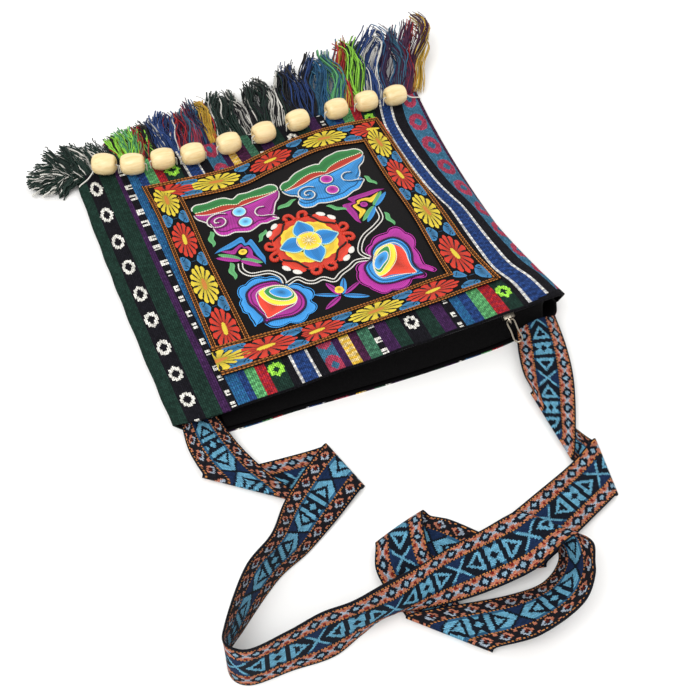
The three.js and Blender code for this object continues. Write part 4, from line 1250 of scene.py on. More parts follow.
def cloth_places(cell):
    """Flat places of a wall's rows and columns, in millimetres from the left seam and from the mouth."""
    near, far = stripe_columns(cell)
    share = np.linspace(0, 1, int(CLOTH_LONG * MM / cell) + 1)[:, None]
    x = near + (far - near) * share
    return np.stack([x, np.broadcast_to(share * CLOTH_LONG, x.shape)], -1)


def make_walls(sizes):
    """The striped front and back walls."""
    finish = woven_cotton("Hand-loom cotton", warp=1.3, float_long=3.0, roughness=0.9)
    uvs = cloth_places(sizes.cloth_cell)
    wander = smooth_table(STRIPE_WANDER, uvs[..., 1]) * smooth_table(WANDER_SHARE, uvs[..., 0])
    points = front_point(2 * (uvs[..., 0] + wander) / CLOTH_WIDE - 1, uvs[..., 1] / CLOTH_LONG)
    lining = black_satin("Black polyester lining", shown=False)
    front = cloth("front_cloth", points + rumpled(uvs), uvs, cloth_dyes, finish, sizes.cloth_thick, lining)
    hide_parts("front_panel")
    uvs = cloth_places(BACK_COARSER * sizes.cloth_cell)[:, ::-1]
    points = back_point(2 * uvs[..., 0] / CLOTH_WIDE - 1, uvs[..., 1] / CLOTH_LONG)
    points += rumpled(uvs) * (1, 0, 0)
    back = cloth("back_cloth", points, uvs, back_dyes, finish, BACK_CLOTH, lining)
    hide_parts("back_panel")


# Satin square and its embroidery, in millimetres
SATIN = Sizes(left=-90, near=-93, wide=176.0, long=190.0, cell=3.0)
SATIN_LOW = 0.2
SATIN_HIGH = 0.9
STITCH_LOW = SATIN_HIGH - 0.1
BEADING = 0.75
SPIRAL = Sizes(start=0.2, to=1.9, least=1.0, most=9.6, steps=60)
# Shift in millimetres of the dark cord under each spiral's and hook's white line: a painted shadow
SPIRAL_SHADOW = (0.9, -0.9)
CLOUD_DOT = Sizes(radius=5.0, rim=6.0)
HEART_LOBES = 11
HEART_SCALLOP = 2.6


def thread_line(work, points, colour, low, thick=0.85):
    """A line of fine chain stitches along flat points, beaded coarser than thread so that it shows."""
    count = max(int(lengths(points)[-1] / BEADING), 4)
    path = np.column_stack([even(points, count), np.full(count, low)])
    radii = thick / 2 * np.where(np.arange(count) % 2, 1.0, 0.7)
    radii[[0, -1]] = 0.02
    rings, uvs = tube(path, radii, 5, UP)
    work.add(rings, colour, uvs)


def chain(work, points, colour, low, length, thick, keep=None):
    """A row of separate long stitches along flat points."""
    count = max(int(lengths(points)[-1] / length), 2)
    knots = even(points, count + 1)
    for start, end in zip(knots[:-1], knots[1:]):
        if keep is not None and not keep((start + end) / 2):
            continue
        ends = np.linspace(start, end, len(SPINDLE))
        path = np.column_stack([ends, np.full(len(SPINDLE), low + thick * 0.2)])
        rings, uvs = tube(path, SPINDLE * thick / 2, 5, UP)
        work.add(rings, colour, uvs)


def cord_line(work, points, colour, low, thick):
    """A smooth padded line of stitches along flat points."""
    path = np.column_stack([points, np.full(len(points), low)])
    radii = np.full(len(points), thick / 2)
    radii[[0, -1]] = thick * 0.05
    rings, uvs = tube(path, radii, 6, UP)
    work.add(rings, colour, uvs)


def spine_of(outline, keep=0.45):
    """The middle line that an outline's stitches run to, there and back."""
    centre = outline[:-1].mean(0)
    spread = outline[:-1] - centre
    _, _, axes = np.linalg.svd(spread, full_matrices=False)
    along = (outline - centre) @ axes[0]
    return centre + (along * keep)[:, None] * axes[0]


# Shades of a fill, from its edge to its middle, and of a band, from edge to edge
FILL_SHADES = np.array((1.25, 1.12, 0.98, 0.82, 0.66, 0.54))[:, None, None]
BAND_SHADES = np.array((1.2, 1.0, 0.82, 0.82, 1.0, 1.2))[:, None, None]


def filled(work, outline, colour, low, rise=0.6, inner=None):
    """A padded fill inside a flat outline, darker in its middle."""
    target = spine_of(outline) if inner is None else np.broadcast_to(np.asarray(inner, float), outline.shape)
    points, uvs = raised(outline, target, low, rise, 1.0)
    work.add(points, colour * FILL_SHADES, uvs)


def banded(work, first, second, colour, low, rise=0.6, crest=0.5):
    """A padded fill between two flat lines, darker along its middle."""
    points, uvs = raised(first, second, low, rise, crest)
    work.add(points, colour * BAND_SHADES, uvs)


def sew_leaf(work, colour, base, tip, half_wide, low, rise=0.6, wave=0, fullness=0.6):
    """A leaf in one dye, darker along its middle. Returns its points."""
    points, uvs = leaf(base, tip, half_wide, low, rise, wave, fullness)
    work.add(points, colour * BAND_SHADES, uvs)
    return points


def circle(x, y, radius, count=33):
    """A closed ring of flat points."""
    return np.array((x, y)) + radius * heading(np.linspace(0, 2 * math.pi, count))


def sew_cloud(work, colour, cloud):
    """One scalloped cloud with a green and red brim, a spiral, a hook and two dots."""
    body, dots = (colour[thread] for thread in cloud["dyes"])
    white = colour["white"]
    low = STITCH_LOW
    top, band, waist, foot = (line_of(cloud[name], 140) for name in ("top", "band", "waist", "foot"))
    for first, second, thread in (
        (top, band, colour["leaf_green"]), (band, waist, colour["stitch_red"] * 0.8), (waist, foot, body),
    ):
        banded(work, first, second, thread, low)
    thread_line(work, waist * 0.16 + foot * 0.84, body * 0.35, low + 0.45, 1.1)
    turns = np.linspace(SPIRAL.start, SPIRAL.to, SPIRAL.steps) * 2 * math.pi
    reach = np.linspace(SPIRAL.least, SPIRAL.most, SPIRAL.steps)[:, None]
    for points in (heading(-turns) * reach + cloud["spiral"], line_of(cloud["hook"], 40)):
        # Dark cord shifted from the white line: a painted shadow
        cord_line(work, points + SPIRAL_SHADOW, body * 0.3, low + 0.5, 1.7)
        thread_line(work, points, white, low + 0.85, 1.3)
    for centre in cloud["dots"]:
        dot = circle(*centre, CLOUD_DOT.radius)
        thread_line(work, circle(*centre, CLOUD_DOT.rim), body * 0.3, low + 0.5, 1.2)
        filled(work, dot, dots * 1.25, low + 0.5, 0.6, centre)
        thread_line(work, dot, white, low + 0.75, 0.9)
    thread_line(work, top, white, low + 0.25, 1.25)
    chain(work, band, colour["cream"], low + 0.45, 2.0, 1.0)
    thread_line(work, waist, white, low + 0.4, 0.9)
    thread_line(work, foot, white, low + 0.25, 1.25)


def scalloped(outline, lobes, depth):
    """A closed outline pushed out into shallow lobes."""
    way = unit(np.gradient(outline, axis=0))
    outwards = np.column_stack([way[:, 1], -way[:, 0]])
    if np.sum(outwards * (outline - outline.mean(0))) < 0:
        outwards = -outwards
    push = depth * (np.abs(np.sin(np.linspace(0, math.pi * lobes, len(outline)))) - 0.6)
    return outline + outwards * push[:, None]


def sew_heart(work, colour, heart):
    """One heart of nested bands inside a scalloped border."""
    low = STITCH_LOW
    outer, inner = (outline_of(heart[name], 160) for name in ("outer", "inner"))
    outer = scalloped(outer, HEART_LOBES, HEART_SCALLOP)
    first, second = heart["dyes"]
    filled(work, outer, colour[first], low, 0.5)
    thread_line(work, outer, colour[first] * 1.5, low + 0.2, 0.7)
    filled(work, inner, colour[second], low + 0.35, 0.5)
    thread_line(work, inner, colour["violet"] * 0.25, low + 0.5, 2.1)
    centre = inner.mean(0)
    thread_line(work, centre + (inner - centre) * 0.86, colour[second] * 0.4, low + 0.75, 1.0)
    for step, (name, thread) in enumerate(HEART_BANDS):
        ring = outline_of(heart[name], 110)
        level = low + 0.7 + 0.2 * step
        filled(work, ring, colour[thread] * 1.15, level, 0.3, ring.mean(0))
        thread_line(work, ring, colour["white" if step in (0, 3) else "cream"], level + 0.15, 0.85)


def sew_rosette(work, colour):
    """The rosette: red curls, yellow lobes, a blue four-pointed star and a yellow disc."""
    low = STITCH_LOW
    centre = np.array((ROSETTE.x, ROSETTE.y))
    turn = np.linspace(0, 2 * math.pi, 241)
    square = np.cos(4 * turn)
    flames = (ROSETTE.red - ROSETTE.red_square * square + ROSETTE.red_flame * np.abs(np.cos(6 * turn))
              + ROSETTE.red_tooth * np.cos(24 * turn))
    lobes = ROSETTE.gold - ROSETTE.gold_square * square + ROSETTE.gold_lobe * np.abs(np.sin(6 * turn))
    inside = centre + heading(turn) * ROSETTE.inside
    for reach, thread, level in ((flames, "stitch_red", 0), (lobes, "stitch_yellow", 0.35)):
        rim = centre + heading(turn) * reach[:, None]
        banded(work, rim, inside, colour[thread], low + level, 0.5, 0.45)
    for quarter in range(4):
        sew_quarter(work, colour, centre, quarter * math.pi / 2)
    disc = circle(*centre, ROSETTE.disc)
    filled(work, disc, colour["stitch_yellow"] * 1.05, low + 1.2, 0.5, centre)
    thread_line(work, disc, colour["cream"], low + 1.3, 0.8)
    for step in range(ROSETTE.rays):
        angle = step * math.pi / ROSETTE.rays + ROSETTE.ray_turn
        reach = heading(angle) * ROSETTE.disc * ROSETTE.ray_share
        thread_line(work, np.linspace(centre - reach, centre + reach, 8), colour["cream"], low + 1.75, 0.6)


def sew_quarter(work, colour, centre, angle):
    """A quarter of the rosette: two curls, a dark swirl, two pearls and a petal of the star."""
    low = STITCH_LOW
    way = heading(angle)
    side = np.array((-way[1], way[0]))
    for hand in (-1, 1):
        axes = np.array((way, side * hand))
        curl = centre + np.array(ROSETTE.curl) @ axes
        cord_line(work, line_of(curl + CURL @ axes, 24), colour["stitch_red"], low + 0.4, 3.2)
        cord_line(work, line_of(curl + CURL_GAP @ axes, 14), colour["black"] * 0.5, low + 0.5, 1.3)
    corner = angle + math.pi / 4
    arc = np.linspace(-ROSETTE.swirl_turn, ROSETTE.swirl_turn, 16)
    dent = ROSETTE.swirl - ROSETTE.swirl_dent * np.cos(arc * ROSETTE.swirl_waves)
    swirl = centre + heading(arc + corner) * dent[:, None]
    cord_line(work, swirl, np.array(linear("#1a0a0a")), low + 0.65, 1.7)
    for step in (-ROSETTE.pearl_turn, ROSETTE.pearl_turn):
        pearl = centre + heading(corner + step) * ROSETTE.pearls
        along = heading(corner + step + math.pi / 2) * ROSETTE.pearl_half_long
        points, uvs = leaf(pearl - along, pearl + along, ROSETTE.pearl_half_wide, low + 0.2, 0.8)
        work.add(points, colour["white"], uvs)
    base, tip = centre + way * ROSETTE.star_from, centre + way * ROSETTE.star
    blue = colour["sky"] * STAR_TINT
    points = sew_leaf(work, blue, base, tip, ROSETTE.star_half, low + 0.9, 0.5, 0, 0.95)
    for rim in (points[0, :, :2], points[-1, :, :2]):
        thread_line(work, rim, colour["cream"] * STAR_RIM_TINT, low + 1.1, 1.2)


def sew_blossom(work, colour, blossom):
    """One blossom: a two-peaked crown, a band inside it, a dot and two sepals in two colours."""
    joint, turn, wide, crown, band, dot, sepal = blossom
    low = STITCH_LOW
    ahead = heading(math.radians(turn))
    axes = np.array((ahead * wide, (-ahead[1], ahead[0])))
    for name, thread in (("crown", crown), ("band", band)):
        outer, inner = (line_of(joint + np.array(line) @ axes, 90) for line in BLOSSOM[name])
        banded(work, outer, inner, colour[thread], low)
        thread_line(work, inner, colour[thread] * 0.3, low + 0.2, 0.7)
    centre = joint + np.array(BLOSSOM["dot"]) @ axes
    filled(work, circle(*centre, BLOSSOM["dot_radius"]), colour[dot], low + 0.3, 0.5, centre)
    for tip in BLOSSOM["sepals"]:
        for side, thread in ((1, "light_green"), (-1, sepal)):
            shift = np.array((0, side * BLOSSOM["sepal_apart"])) @ axes
            base = joint + shift * BLOSSOM["sepal_foot"]
            end = joint + np.array(tip) @ axes + shift
            sew_leaf(work, colour[thread], base, end, BLOSSOM["sepal_half"], low + 0.3)


def beside(points, offset):
    """A flat line moved sideways by an offset."""
    way = unit(np.gradient(points, axis=0))
    return points + np.column_stack([-way[:, 1], way[:, 0]]) * offset


def make_square():
    """The black satin square with its embroidery."""
    wide, long = SATIN.wide, SATIN.long
    p, q = flat_places(wide, long, SATIN.cell * MM)
    flat = np.stack([SATIN.left + p * wide, SATIN.near + q * long], -1)
    points = on_square(np.dstack([flat, np.full_like(p, SATIN_HIGH)]))
    satin = cloth("satin_square", points, flat, plain_dye(np.zeros(3)),
                  black_satin("Black polyester satin", shown=True), (SATIN_HIGH - SATIN_LOW) * MM)
    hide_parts("embroidered_panel")
    colour = dyes()
    work = Needlework()
    low = STITCH_LOW
    for cloud in CLOUDS:
        sew_cloud(work, colour, cloud)
    for heart in HEARTS:
        sew_heart(work, colour, heart)
    for blossom in BLOSSOMS:
        sew_blossom(work, colour, blossom)
    for thread, base, tip, half_wide, wave in LEAVES:
        points = sew_leaf(work, colour[thread], base, tip, half_wide, low + 0.3, 0.6, wave)
        if wave == 0:
            thread_line(work, points[3, 1:-1, :2], colour["violet"] * 0.3, low + 0.85, 0.6)
    for x, y, radius, thread in DOTS:
        filled(work, circle(x, y, radius), colour[thread], low + 0.8, 0.5, (x, y))
    for stem in STEMS:
        points = line_of(stem, 60)
        for hand in (-1, 1):
            thread_line(work, beside(points, hand * STEM_HALF_GAP), colour["white"], low + 0.25, 1.15)
    sew_rosette(work, colour)
    embroidery = work.sewn("embroidery", rayon_thread("Rayon thread", 1.4), on_square)


# Flower ribbon, in millimetres
RIBBON_THICK = 0.7
RIBBON_CELL = 1.5
LINE_INSET = 0.5


def ribbon_flat(ribbon):
    """A function that brings places along and across a ribbon on to the flat square."""
    table = np.array(ribbon["edges"], float)

    def place(points):
        along, across, height = points[..., 0], points[..., 1], points[..., 2]
        starts, stops = ribbon_ends(ribbon, across)
        along = np.clip(along, starts, stops)
        edges = smooth_rows(table[:, 0], table[:, 1:], along)
        share = across / RIBBON_WIDE + 0.5
        crossed = edges[..., 0] * (1 - share) + edges[..., 1] * share
        pair = (crossed, along) if ribbon["upright"] else (along, crossed)
        return np.stack([*pair, height + ribbon["level"] + RIBBON_THICK], -1)

    return place


def ribbon_ends(ribbon, across):
    """Where a ribbon starts and stops at places across it."""
    share = across / RIBBON_WIDE + 0.5
    return tuple(outer + (inner - outer) * share for outer, inner in ribbon["ends"])


def inside_ribbon(ribbon, points, cut=None):
    """True at flat places that lie between a ribbon's ends, and past a cut."""
    starts, stops = ribbon_ends(ribbon, points[..., 1])
    found = (points[..., 0] > starts) & (points[..., 0] < stops)
    return found if cut is None else found & (points[..., 0] > cut)


PETAL_STEPS = 12
# From a flower's heart outwards: rings as shares of its reach, half widths of the petals' coloured part
# as shares of the petal's, and shades
PETAL_RINGS = np.array((0.16, 0.36, 0.56, 0.76, 0.92, 1.0))[:, None]
PETAL_FILL = np.array((0.92, 0.78, 0.72, 0.64, 0.8))[:, None]
PETAL_SHADES = np.array((0.6, 0.8, 0.95, 1.05, 1.1))[:, None, None]


def sew_flower(work, colour, ribbon, x, kind, cut):
    """One many-petalled ribbon flower: dark lines between blunt petals, and an oblong heart."""
    petal, heart = FLOWER_DYES[kind]
    steps = FLOWER.petals * PETAL_STEPS
    turn = np.linspace(0, 2 * math.pi, steps + 1)[None, :]
    swell = np.abs(np.cos(turn * FLOWER.petals / 2)) ** 0.5
    reach = PETAL_RINGS * (1 - (1 - swell) * FLOWER.notch * PETAL_RINGS)
    stretch = 1 + FLOWER.stretch * np.cos(turn) ** 8
    points = np.stack([
        x + reach * stretch * np.cos(turn) * FLOWER.half_long,
        reach * np.sin(turn) * FLOWER.half_wide,
        FLOWER.rise * swell * np.sqrt(np.clip(1 - PETAL_RINGS**6, 0, 1)),
    ], -1)
    from_middle = np.abs((np.arange(steps) + 0.5) / PETAL_STEPS % 1 * 2 - 1)
    colours = np.broadcast_to(colour[petal] * PETAL_SHADES, (len(PETAL_FILL), steps, 3)).copy()
    colours[1 - from_middle > PETAL_FILL] = colour["black"] * 0.6
    uvs = np.stack([np.broadcast_to(turn * 4, points.shape[:2]), points[..., 0] + points[..., 1]], -1)
    work.add(points, colours, uvs, inside_ribbon(ribbon, points, cut))
    centre = np.array((x, 0))
    half = np.array((FLOWER.heart_long, FLOWER.heart_slant))
    points, uvs = leaf(centre - half, centre + half, FLOWER.heart_wide, 0.2, 0.35, 0, 0.35)
    work.add(points, colour[heart], uvs, inside_ribbon(ribbon, points, cut))


def sew_leaves(work, colour, ribbon, x):
    """A blue leaf patch with dark veins at either edge of a ribbon."""
    blue = colour["ribbon_blue"]
    for hand in (-1, 1):
        outline = outline_of(np.array(PATCH) * (1, hand) + (x, hand * VEINS.foot), 48)
        middle = np.broadcast_to((x, hand * VEINS.middle), outline.shape)
        points, uvs = raised(outline, middle, -0.1, 0.4, 1.0)
        work.add(points, blue * FILL_SHADES, uvs, inside_ribbon(ribbon, points))
        for lean in (-1, 1):
            for radius in VEINS.radii:
                bow = heading(np.linspace(*VEINS.turn, 9)) * radius
                vein = (np.array(VEINS.centre) - bow) * (lean, hand) + (x, 0)
                if inside_ribbon(ribbon, vein).all():
                    thread_line(work, vein, blue * 0.1, 0.28, 0.9)
    dash = np.linspace((x, -VEINS.dash), (x, VEINS.dash), 6)
    if inside_ribbon(ribbon, dash).all():
        thread_line(work, dash, blue * 0.3, 0.0, 0.8)


# Lines along a ribbon: columns place across it, length and thickness of a stitch, share of the orange
RIBBON_LINES = (
    (-15.6, 2.4, 1.15, 1.0), (-14.1, 3.0, 1.5, 0.22), (-12.5, 2.4, 1.15, 0.9),
    (12.5, 2.4, 1.15, 0.9), (14.1, 3.0, 1.5, 0.22), (15.6, 2.4, 1.15, 1.0),
)


def make_ribbons():
    """Four lengths of jacquard ribbon, each a black ground with raised flowers, leaves and chain lines."""
    ground = woven_cotton("Jacquard ribbon ground", warp=0.8, float_long=1.6, roughness=0.7)
    thread = rayon_thread("Ribbon weft", 0.7)
    colour = dyes()
    black = np.array(linear("#100e10"))
    for name, ribbon in RIBBONS.items():
        place = ribbon_flat(ribbon)
        edges = np.array(ribbon["edges"], float)
        length = edges[-1, 0] - edges[0, 0]
        p, q = flat_places(length, RIBBON_WIDE, RIBBON_CELL * MM)
        across = (q - 0.5) * RIBBON_WIDE
        starts, stops = ribbon_ends(ribbon, across)
        flat = np.stack([starts + p * (stops - starts), across, np.zeros_like(p)], -1)
        faces_down = ribbon["upright"] == (edges[0, 1] < edges[0, 2])
        if faces_down:
            flat = flat[:, ::-1]
        band = cloth(name + "_ground", on_square(place(flat)), flat[..., :2], plain_dye(black), ground,
                     RIBBON_THICK * MM)
        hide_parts(name)
        work = Needlework()
        for x, kind, cut in ribbon["flowers"]:
            sew_flower(work, colour, ribbon, x, kind, cut)
        for x in ribbon["leaves"]:
            sew_leaves(work, colour, ribbon, x)
        for edge, stitch, thick, share in RIBBON_LINES:
            line = np.linspace((edges[0, 0] + LINE_INSET, edge), (edges[-1, 0] - LINE_INSET, edge), 80)
            chain(work, line, colour["ribbon_orange"] * share, -0.1, stitch, thick,
                  lambda point: inside_ribbon(ribbon, point))
        flowers = work.sewn(name + "_flowers", thread, lambda flat, place=place: on_square(place(flat)))


# Zip


def make_zip():
    """The mouth's zip: two black tapes painted darker for the shade in the mouth, the closed coil between
    them, and the metal finish of its slider.
    """
    tape_finish = woven_cotton("Black zip tape", warp=0.9, float_long=1.8, roughness=0.85)
    # Blacker than black tape: painted shade of the mouth's inside
    black = np.array(linear("#070607"))
    length = (ZIP_TO - ZIP_FROM) / MM
    for name, (start, end) in ZIP_BANDS.items():
        p, w = np.meshgrid(np.linspace(0, 1, ZIP.columns), np.linspace(end, start, ZIP.rows))
        points = lifted(zip_point, p, w, np.full_like(p, -TAPE / 2), ZIP.step)
        uvs = np.stack([p * length, w * ZIP.flat_wide], -1)
        tape = cloth(name + "_woven", points, uvs, plain_dye(black), tape_finish, TAPE)
        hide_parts(name)
    work = Needlework()
    across = np.linspace(ZIP_COIL[0] - ZIP.over, ZIP_COIL[1] + ZIP.over, len(TOOTH))
    hump = ZIP.rise * np.sin(np.linspace(0, math.pi, len(TOOTH))) + ZIP.low
    for k in range(ZIP.teeth):
        p = np.full(len(TOOTH), (k + 0.5) / ZIP.teeth)
        path = lifted(zip_point, p, across, -hump, ZIP.step)
        rings, uvs = tube(path, TOOTH * ZIP.radius, ZIP.sides, np.array((1.0, 0, 0)))
        work.add(rings, black, uvs)
    coil = work.sewn("zip_teeth", nylon_coil("Black nylon"), in_place)
    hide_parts("zip_coil")
    metal = nickel_plate("Nickel plate")
    for name in ("zip_slider", "zip_pull"):
        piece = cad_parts[name]
        piece.data.materials.clear()
        piece.data.materials.append(metal)


# Beads


def make_beads(sizes):
    """Turned wooden barrel beads on white thread."""
    wood = turned_wood("Varnished turned wood")
    centres = []
    for number in range(1, BEADS + 1):
        low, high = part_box(f"bead_{number:02d}")
        centres.append((Vector(low) + Vector(high)) / 2)
    half = sizes.bead_long / 2
    for k, centre in enumerate(centres):
        before, after = centres[max(k - 1, 0)], centres[min(k + 1, BEADS - 1)]
        turn = math.atan2(after.y - before.y, after.x - before.x)
        bm = bmesh.new()
        bore = sizes.bead_bore / 2
        shares = np.linspace(-1, 1, BEAD.rings)
        bore_end = half * BEAD.bore_end
        profile = [(-bore_end, bore)]
        profile += [(share * half, bead_radius(share, sizes)) for share in shares]
        profile += [(bore_end, bore)]
        ring = [bm.verts.new((x, r, 0)) for x, r in profile]
        edges = [bm.edges.new(pair) for pair in zip(ring, ring[1:] + ring[:1])]
        bmesh.ops.spin(bm, geom=ring + edges, cent=(0, 0, 0), axis=(1, 0, 0), angle=2 * math.pi,
                       steps=BEAD.steps, use_merge=True)
        bmesh.ops.remove_doubles(bm, verts=bm.verts, dist=WELD)
        bmesh.ops.recalc_face_normals(bm, faces=bm.faces)
        bm.transform(Matrix.Translation(centre) @ Matrix.Rotation(turn, 4, "Z"))
        mesh = bpy.data.meshes.new(f"wooden_bead_{k + 1:02d}")
        bm.to_mesh(mesh)
        bm.free()
        bead = smooth_object(mesh.name, mesh, wood)
        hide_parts(f"bead_{k + 1:02d}")
    make_bead_threads(centres, half)


def bead_radius(share, sizes):
    """Half the bead's width at a share of its half length, rounded in at the ends."""
    barrel = math.sqrt(1 - (share * BEAD.barrel) ** 2)
    shoulder = max(0.0, (abs(share) - BEAD.shoulder) / (1 - BEAD.shoulder))
    return sizes.bead_wide / 2 * barrel * (1 - BEAD.round * shoulder ** BEAD.bluntness)


def sew_thread(work, row, points):
    """A round white thread along a smooth curve through points."""
    path = through(points, np.linspace(0, len(points) - 1, THREAD.stations))
    radii = np.full(THREAD.stations, THREAD.radius)
    radii[[0, -1]] *= THREAD.tip
    rings, uvs = tube(path, radii, THREAD.sides, np.array((-row[1], row[0], 0)))
    work.add(rings, dyes()["white"], uvs)


def make_bead_threads(centres, half):
    """White thread through each bead, down to the cloth at its ends, and from the row's ends to the seams."""
    work = Needlework()
    for k, centre in enumerate(centres):
        low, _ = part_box(f"bead_thread_{k + 1:02d}")
        before, after = centres[max(k - 1, 0)], centres[min(k + 1, BEADS - 1)]
        row = unit(np.array((after.x - before.x, after.y - before.y, 0)))
        middle = np.array(centre)
        for hand in (-1, 1):
            way = row * hand
            end = middle + way * (half + THREAD.past_bead)
            drop = UP * (end[2] - low[2])
            sew_thread(work, row, [middle, middle + way * half * THREAD.turn, end - UP * THREAD.droop,
                                   end - drop / 2, end - drop + UP * THREAD.foot])
    for centre, seam in zip((centres[0], centres[-1]), np.array(THREAD_ENDS)):
        middle = np.array(centre)
        row = unit((seam - middle) * (1, 1, 0))
        start = middle + row * half * THREAD.turn
        sag = (start + seam) / 2 - UP * THREAD.sag
        sew_thread(work, row, [start, sag, seam, seam - UP * THREAD.sewn])
    thread = work.sewn("bead_thread", rayon_thread("Cotton thread", 0.0008), in_place)
    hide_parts(*[f"bead_thread_{k + 1:02d}" for k in range(BEADS)])


# Fringe

# Dyes: columns place where each ends from the left seam, main dye, other dye, share of the other
FRINGE = (
    (34, "dark_green", "white", 0.22), (40, "black", "dark_green", 0.4), (46, "lime", "red", 0.2),
    (54, "light_green", "lime", 0.4), (61, "red", "light_green", 0.3), (72, "black", "lime", 0.18),
    (88, "navy", "white", 0.12), (96, "plum", "red", 0.35), (108, "rose", "teal", 0.5),
    (114, "purple", "blue", 0.4), (121, "gold", "red", 0.1), (145, "dark_green", "white", 0.12),
    (157, "black", "white", 0.35), (168, "dark_green", "black", 0.3), (182, "black", "white", 0.5),
    (194, "dark_green", "black", 0.3), (211, "navy", "black", 0.5), (222, "blue", "teal", 0.3),
    (236, "teal", "light_green", 0.45), (245, "red", "gold", 0.3), (258, "lime", "dark_green", 0.4),
    (274, "navy", "white", 0.14), (284, "purple", "blue", 0.35), (293, "teal", "plum", 0.5),
    (300, "plum", "red", 0.25), (330, "gold", "cream", 0.25),
)
YARN_STATIONS = 15
YARN_SIDES = 4
# Where a lock leaves the hem, in metres: inside the edge, its height, and where its fall is counted from
LOCK_ROOT = Sizes(inset=0.001, height=0.0036, start=0.0037)
# Shape of a lock, in metres, shares and half turns
LOCK_SHAPE = Sizes(
    half_wide=0.0064, half_deep=0.0034, gather=0.32, gather_long=0.8, rise=0.007,
    lean=0.004, wave=0.004, wave_turn=2.6, wave_rise=0.6, long=0.068, fan=0.0018,
    crimp=0.0007, twist=1.9,
)
# Turn of a lock's lean, wave and twist from one lock to the next, in radians
LOCK_TURN = Sizes(lean=0.9, lean_start=0.6, wave=2.1, twist=1.3)
# Single yarns: ranges of length and thickness, shares for ends, lowest place and dye, and their crimps
YARN = Sizes(
    long=(0.78, 1.04), thick=(0.75, 1.15), tip=0.05, blunt=0.08, lowest=0.6,
    dye_reach=0.75, crimps=9, crimp_growth=4,
)
# Strands of a lock: columns piece, share of the yarn count, of its thickness and of the spread, shades
STRANDS = (
    ("fringe_yarns", 1.0, 1.0, 1.0, (0.55, 1.05)), ("fringe_wisps", 0.5, 0.65, 1.4, (0.3, 0.8)),
)


def make_fringe(sizes):
    """Limp locks of loose yarns in the colours of their stripes, with thin wisps between."""
    scale = LOCK_FALL[:, 0]
    roots = scale[0] + (scale[-1] - scale[0]) * (np.arange(LOCKS) / (LOCKS - 1)) ** LOCK_CROWDING
    falls = np.concatenate([smooth_rows(scale, LOCK_FALL, roots), LEFT_TUFT])
    finish = rayon_thread("Loose cotton yarn", 0.0014)
    for strands in STRANDS:
        draw = random.Random(11)
        work = Needlework()
        for k, (x, way_x, way_y, tip_z) in enumerate(falls):
            edge_y = smooth_rows(FAR_EDGE[:, 0], FAR_EDGE, np.array([x]))[0, 1]
            sway = LOCK_WANDER.sway * math.sin(k * LOCK_WANDER.sway_turn)
            reach = 1 + LOCK_WANDER.ragged * math.sin(k * LOCK_WANDER.ragged_turn + 1)
            root = np.array((x, edge_y - LOCK_ROOT.inset, LOCK_ROOT.height))
            fall = edge_y + LOCK_ROOT.start + way_y * reach
            tip = np.array((x + way_x * reach + sway, fall, tip_z))
            lay_lock(work, draw, root, tip, k, sizes, strands)
        fringe = work.sewn(strands[0], finish, in_place)
        if strands is STRANDS[0]:
            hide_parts("fringe")


def lay_lock(work, draw, root, tip, number, sizes, strands):
    """One lock: yarns that leave the cloth side by side, gather, and wave together to blunt uneven ends."""
    _, count, thickness, wider, shades = strands
    colour = dyes()
    t = np.linspace(0, 1, YARN_STATIONS)
    along = unit(tip - root)
    side = unit(np.cross(along, UP))
    middle = (root + tip) / 2 + UP * LOCK_SHAPE.rise
    spine = root * ((1 - t)**2)[:, None] + middle * (2 * t * (1 - t))[:, None] + tip * (t**2)[:, None]
    bend = np.linalg.norm(tip - root) / LOCK_SHAPE.long
    lean_turn = number * LOCK_TURN.lean + LOCK_TURN.lean_start
    lean = bend * LOCK_SHAPE.lean * math.sin(lean_turn) * np.sin(math.pi * t)
    wave_turn = LOCK_SHAPE.wave_turn * math.pi * t + number * LOCK_TURN.wave
    wave = bend**2 * LOCK_SHAPE.wave * np.sin(wave_turn) * t
    spine += side * (lean + wave)[:, None] + UP * (LOCK_SHAPE.wave_rise * wave)[:, None]
    twist = LOCK_SHAPE.twist * math.sin(number * LOCK_TURN.twist) * t
    gathered = LOCK_SHAPE.gather * np.sin(math.pi * np.minimum(t * LOCK_SHAPE.gather_long, 1))
    width = LOCK_SHAPE.half_wide * (1 - gathered)
    for _ in range(round(sizes.yarns * count)):
        spread, depth = draw.uniform(-1, 1) * wider, draw.uniform(-1, 1)
        end = draw.uniform(*YARN.long)
        curl = draw.gauss(0, LOCK_SHAPE.fan) * t**2
        crimp = crimped(draw, t) * LOCK_SHAPE.crimp
        turned = spread * np.cos(twist) - depth * np.sin(twist)
        lift = (depth * np.cos(twist) + spread * np.sin(twist)) * LOCK_SHAPE.half_deep
        path = root + (spine - root) * end + side * (turned * width + curl + crimp[0])[:, None]
        height = path[:, 2] + lift * (0.5 + 0.5 * t) + crimp[1]
        path[:, 2] = np.maximum(height, sizes.yarn * YARN.lowest)
        path[-1] = path[-2] + (path[-1] - path[-2]) * YARN.blunt
        radii = np.full(YARN_STATIONS, sizes.yarn / 2) * thickness * draw.uniform(*YARN.thick)
        radii[[0, -1]] *= YARN.tip
        rings, uvs = tube(path, radii, YARN_SIDES, UP)
        aside = spread * LOCK_SHAPE.half_wide * YARN.dye_reach
        place = (root[0] + aside + CLOTH_WIDE * MM / 2) / MM
        work.add(rings, yarn_dye(draw, colour, place) * draw.uniform(*shades), uvs)


def crimped(draw, t):
    """Small turns of an unravelled yarn, sideways and up, growing from its root."""
    knots = np.linspace(0, 1, YARN.crimps)
    turns = [np.interp(t, knots, [draw.gauss(0, 1) for _ in knots]) for _ in range(2)]
    return np.array(turns) * np.minimum(t * YARN.crimp_growth, 1)


def yarn_dye(draw, colour, place):
    """The dye of a yarn from its place along the far edge, in millimetres from the left seam."""
    _, main, other, share = next(row for row in FRINGE if place < row[0])
    return colour[other] if draw.random() < share else colour[main]


# Stage


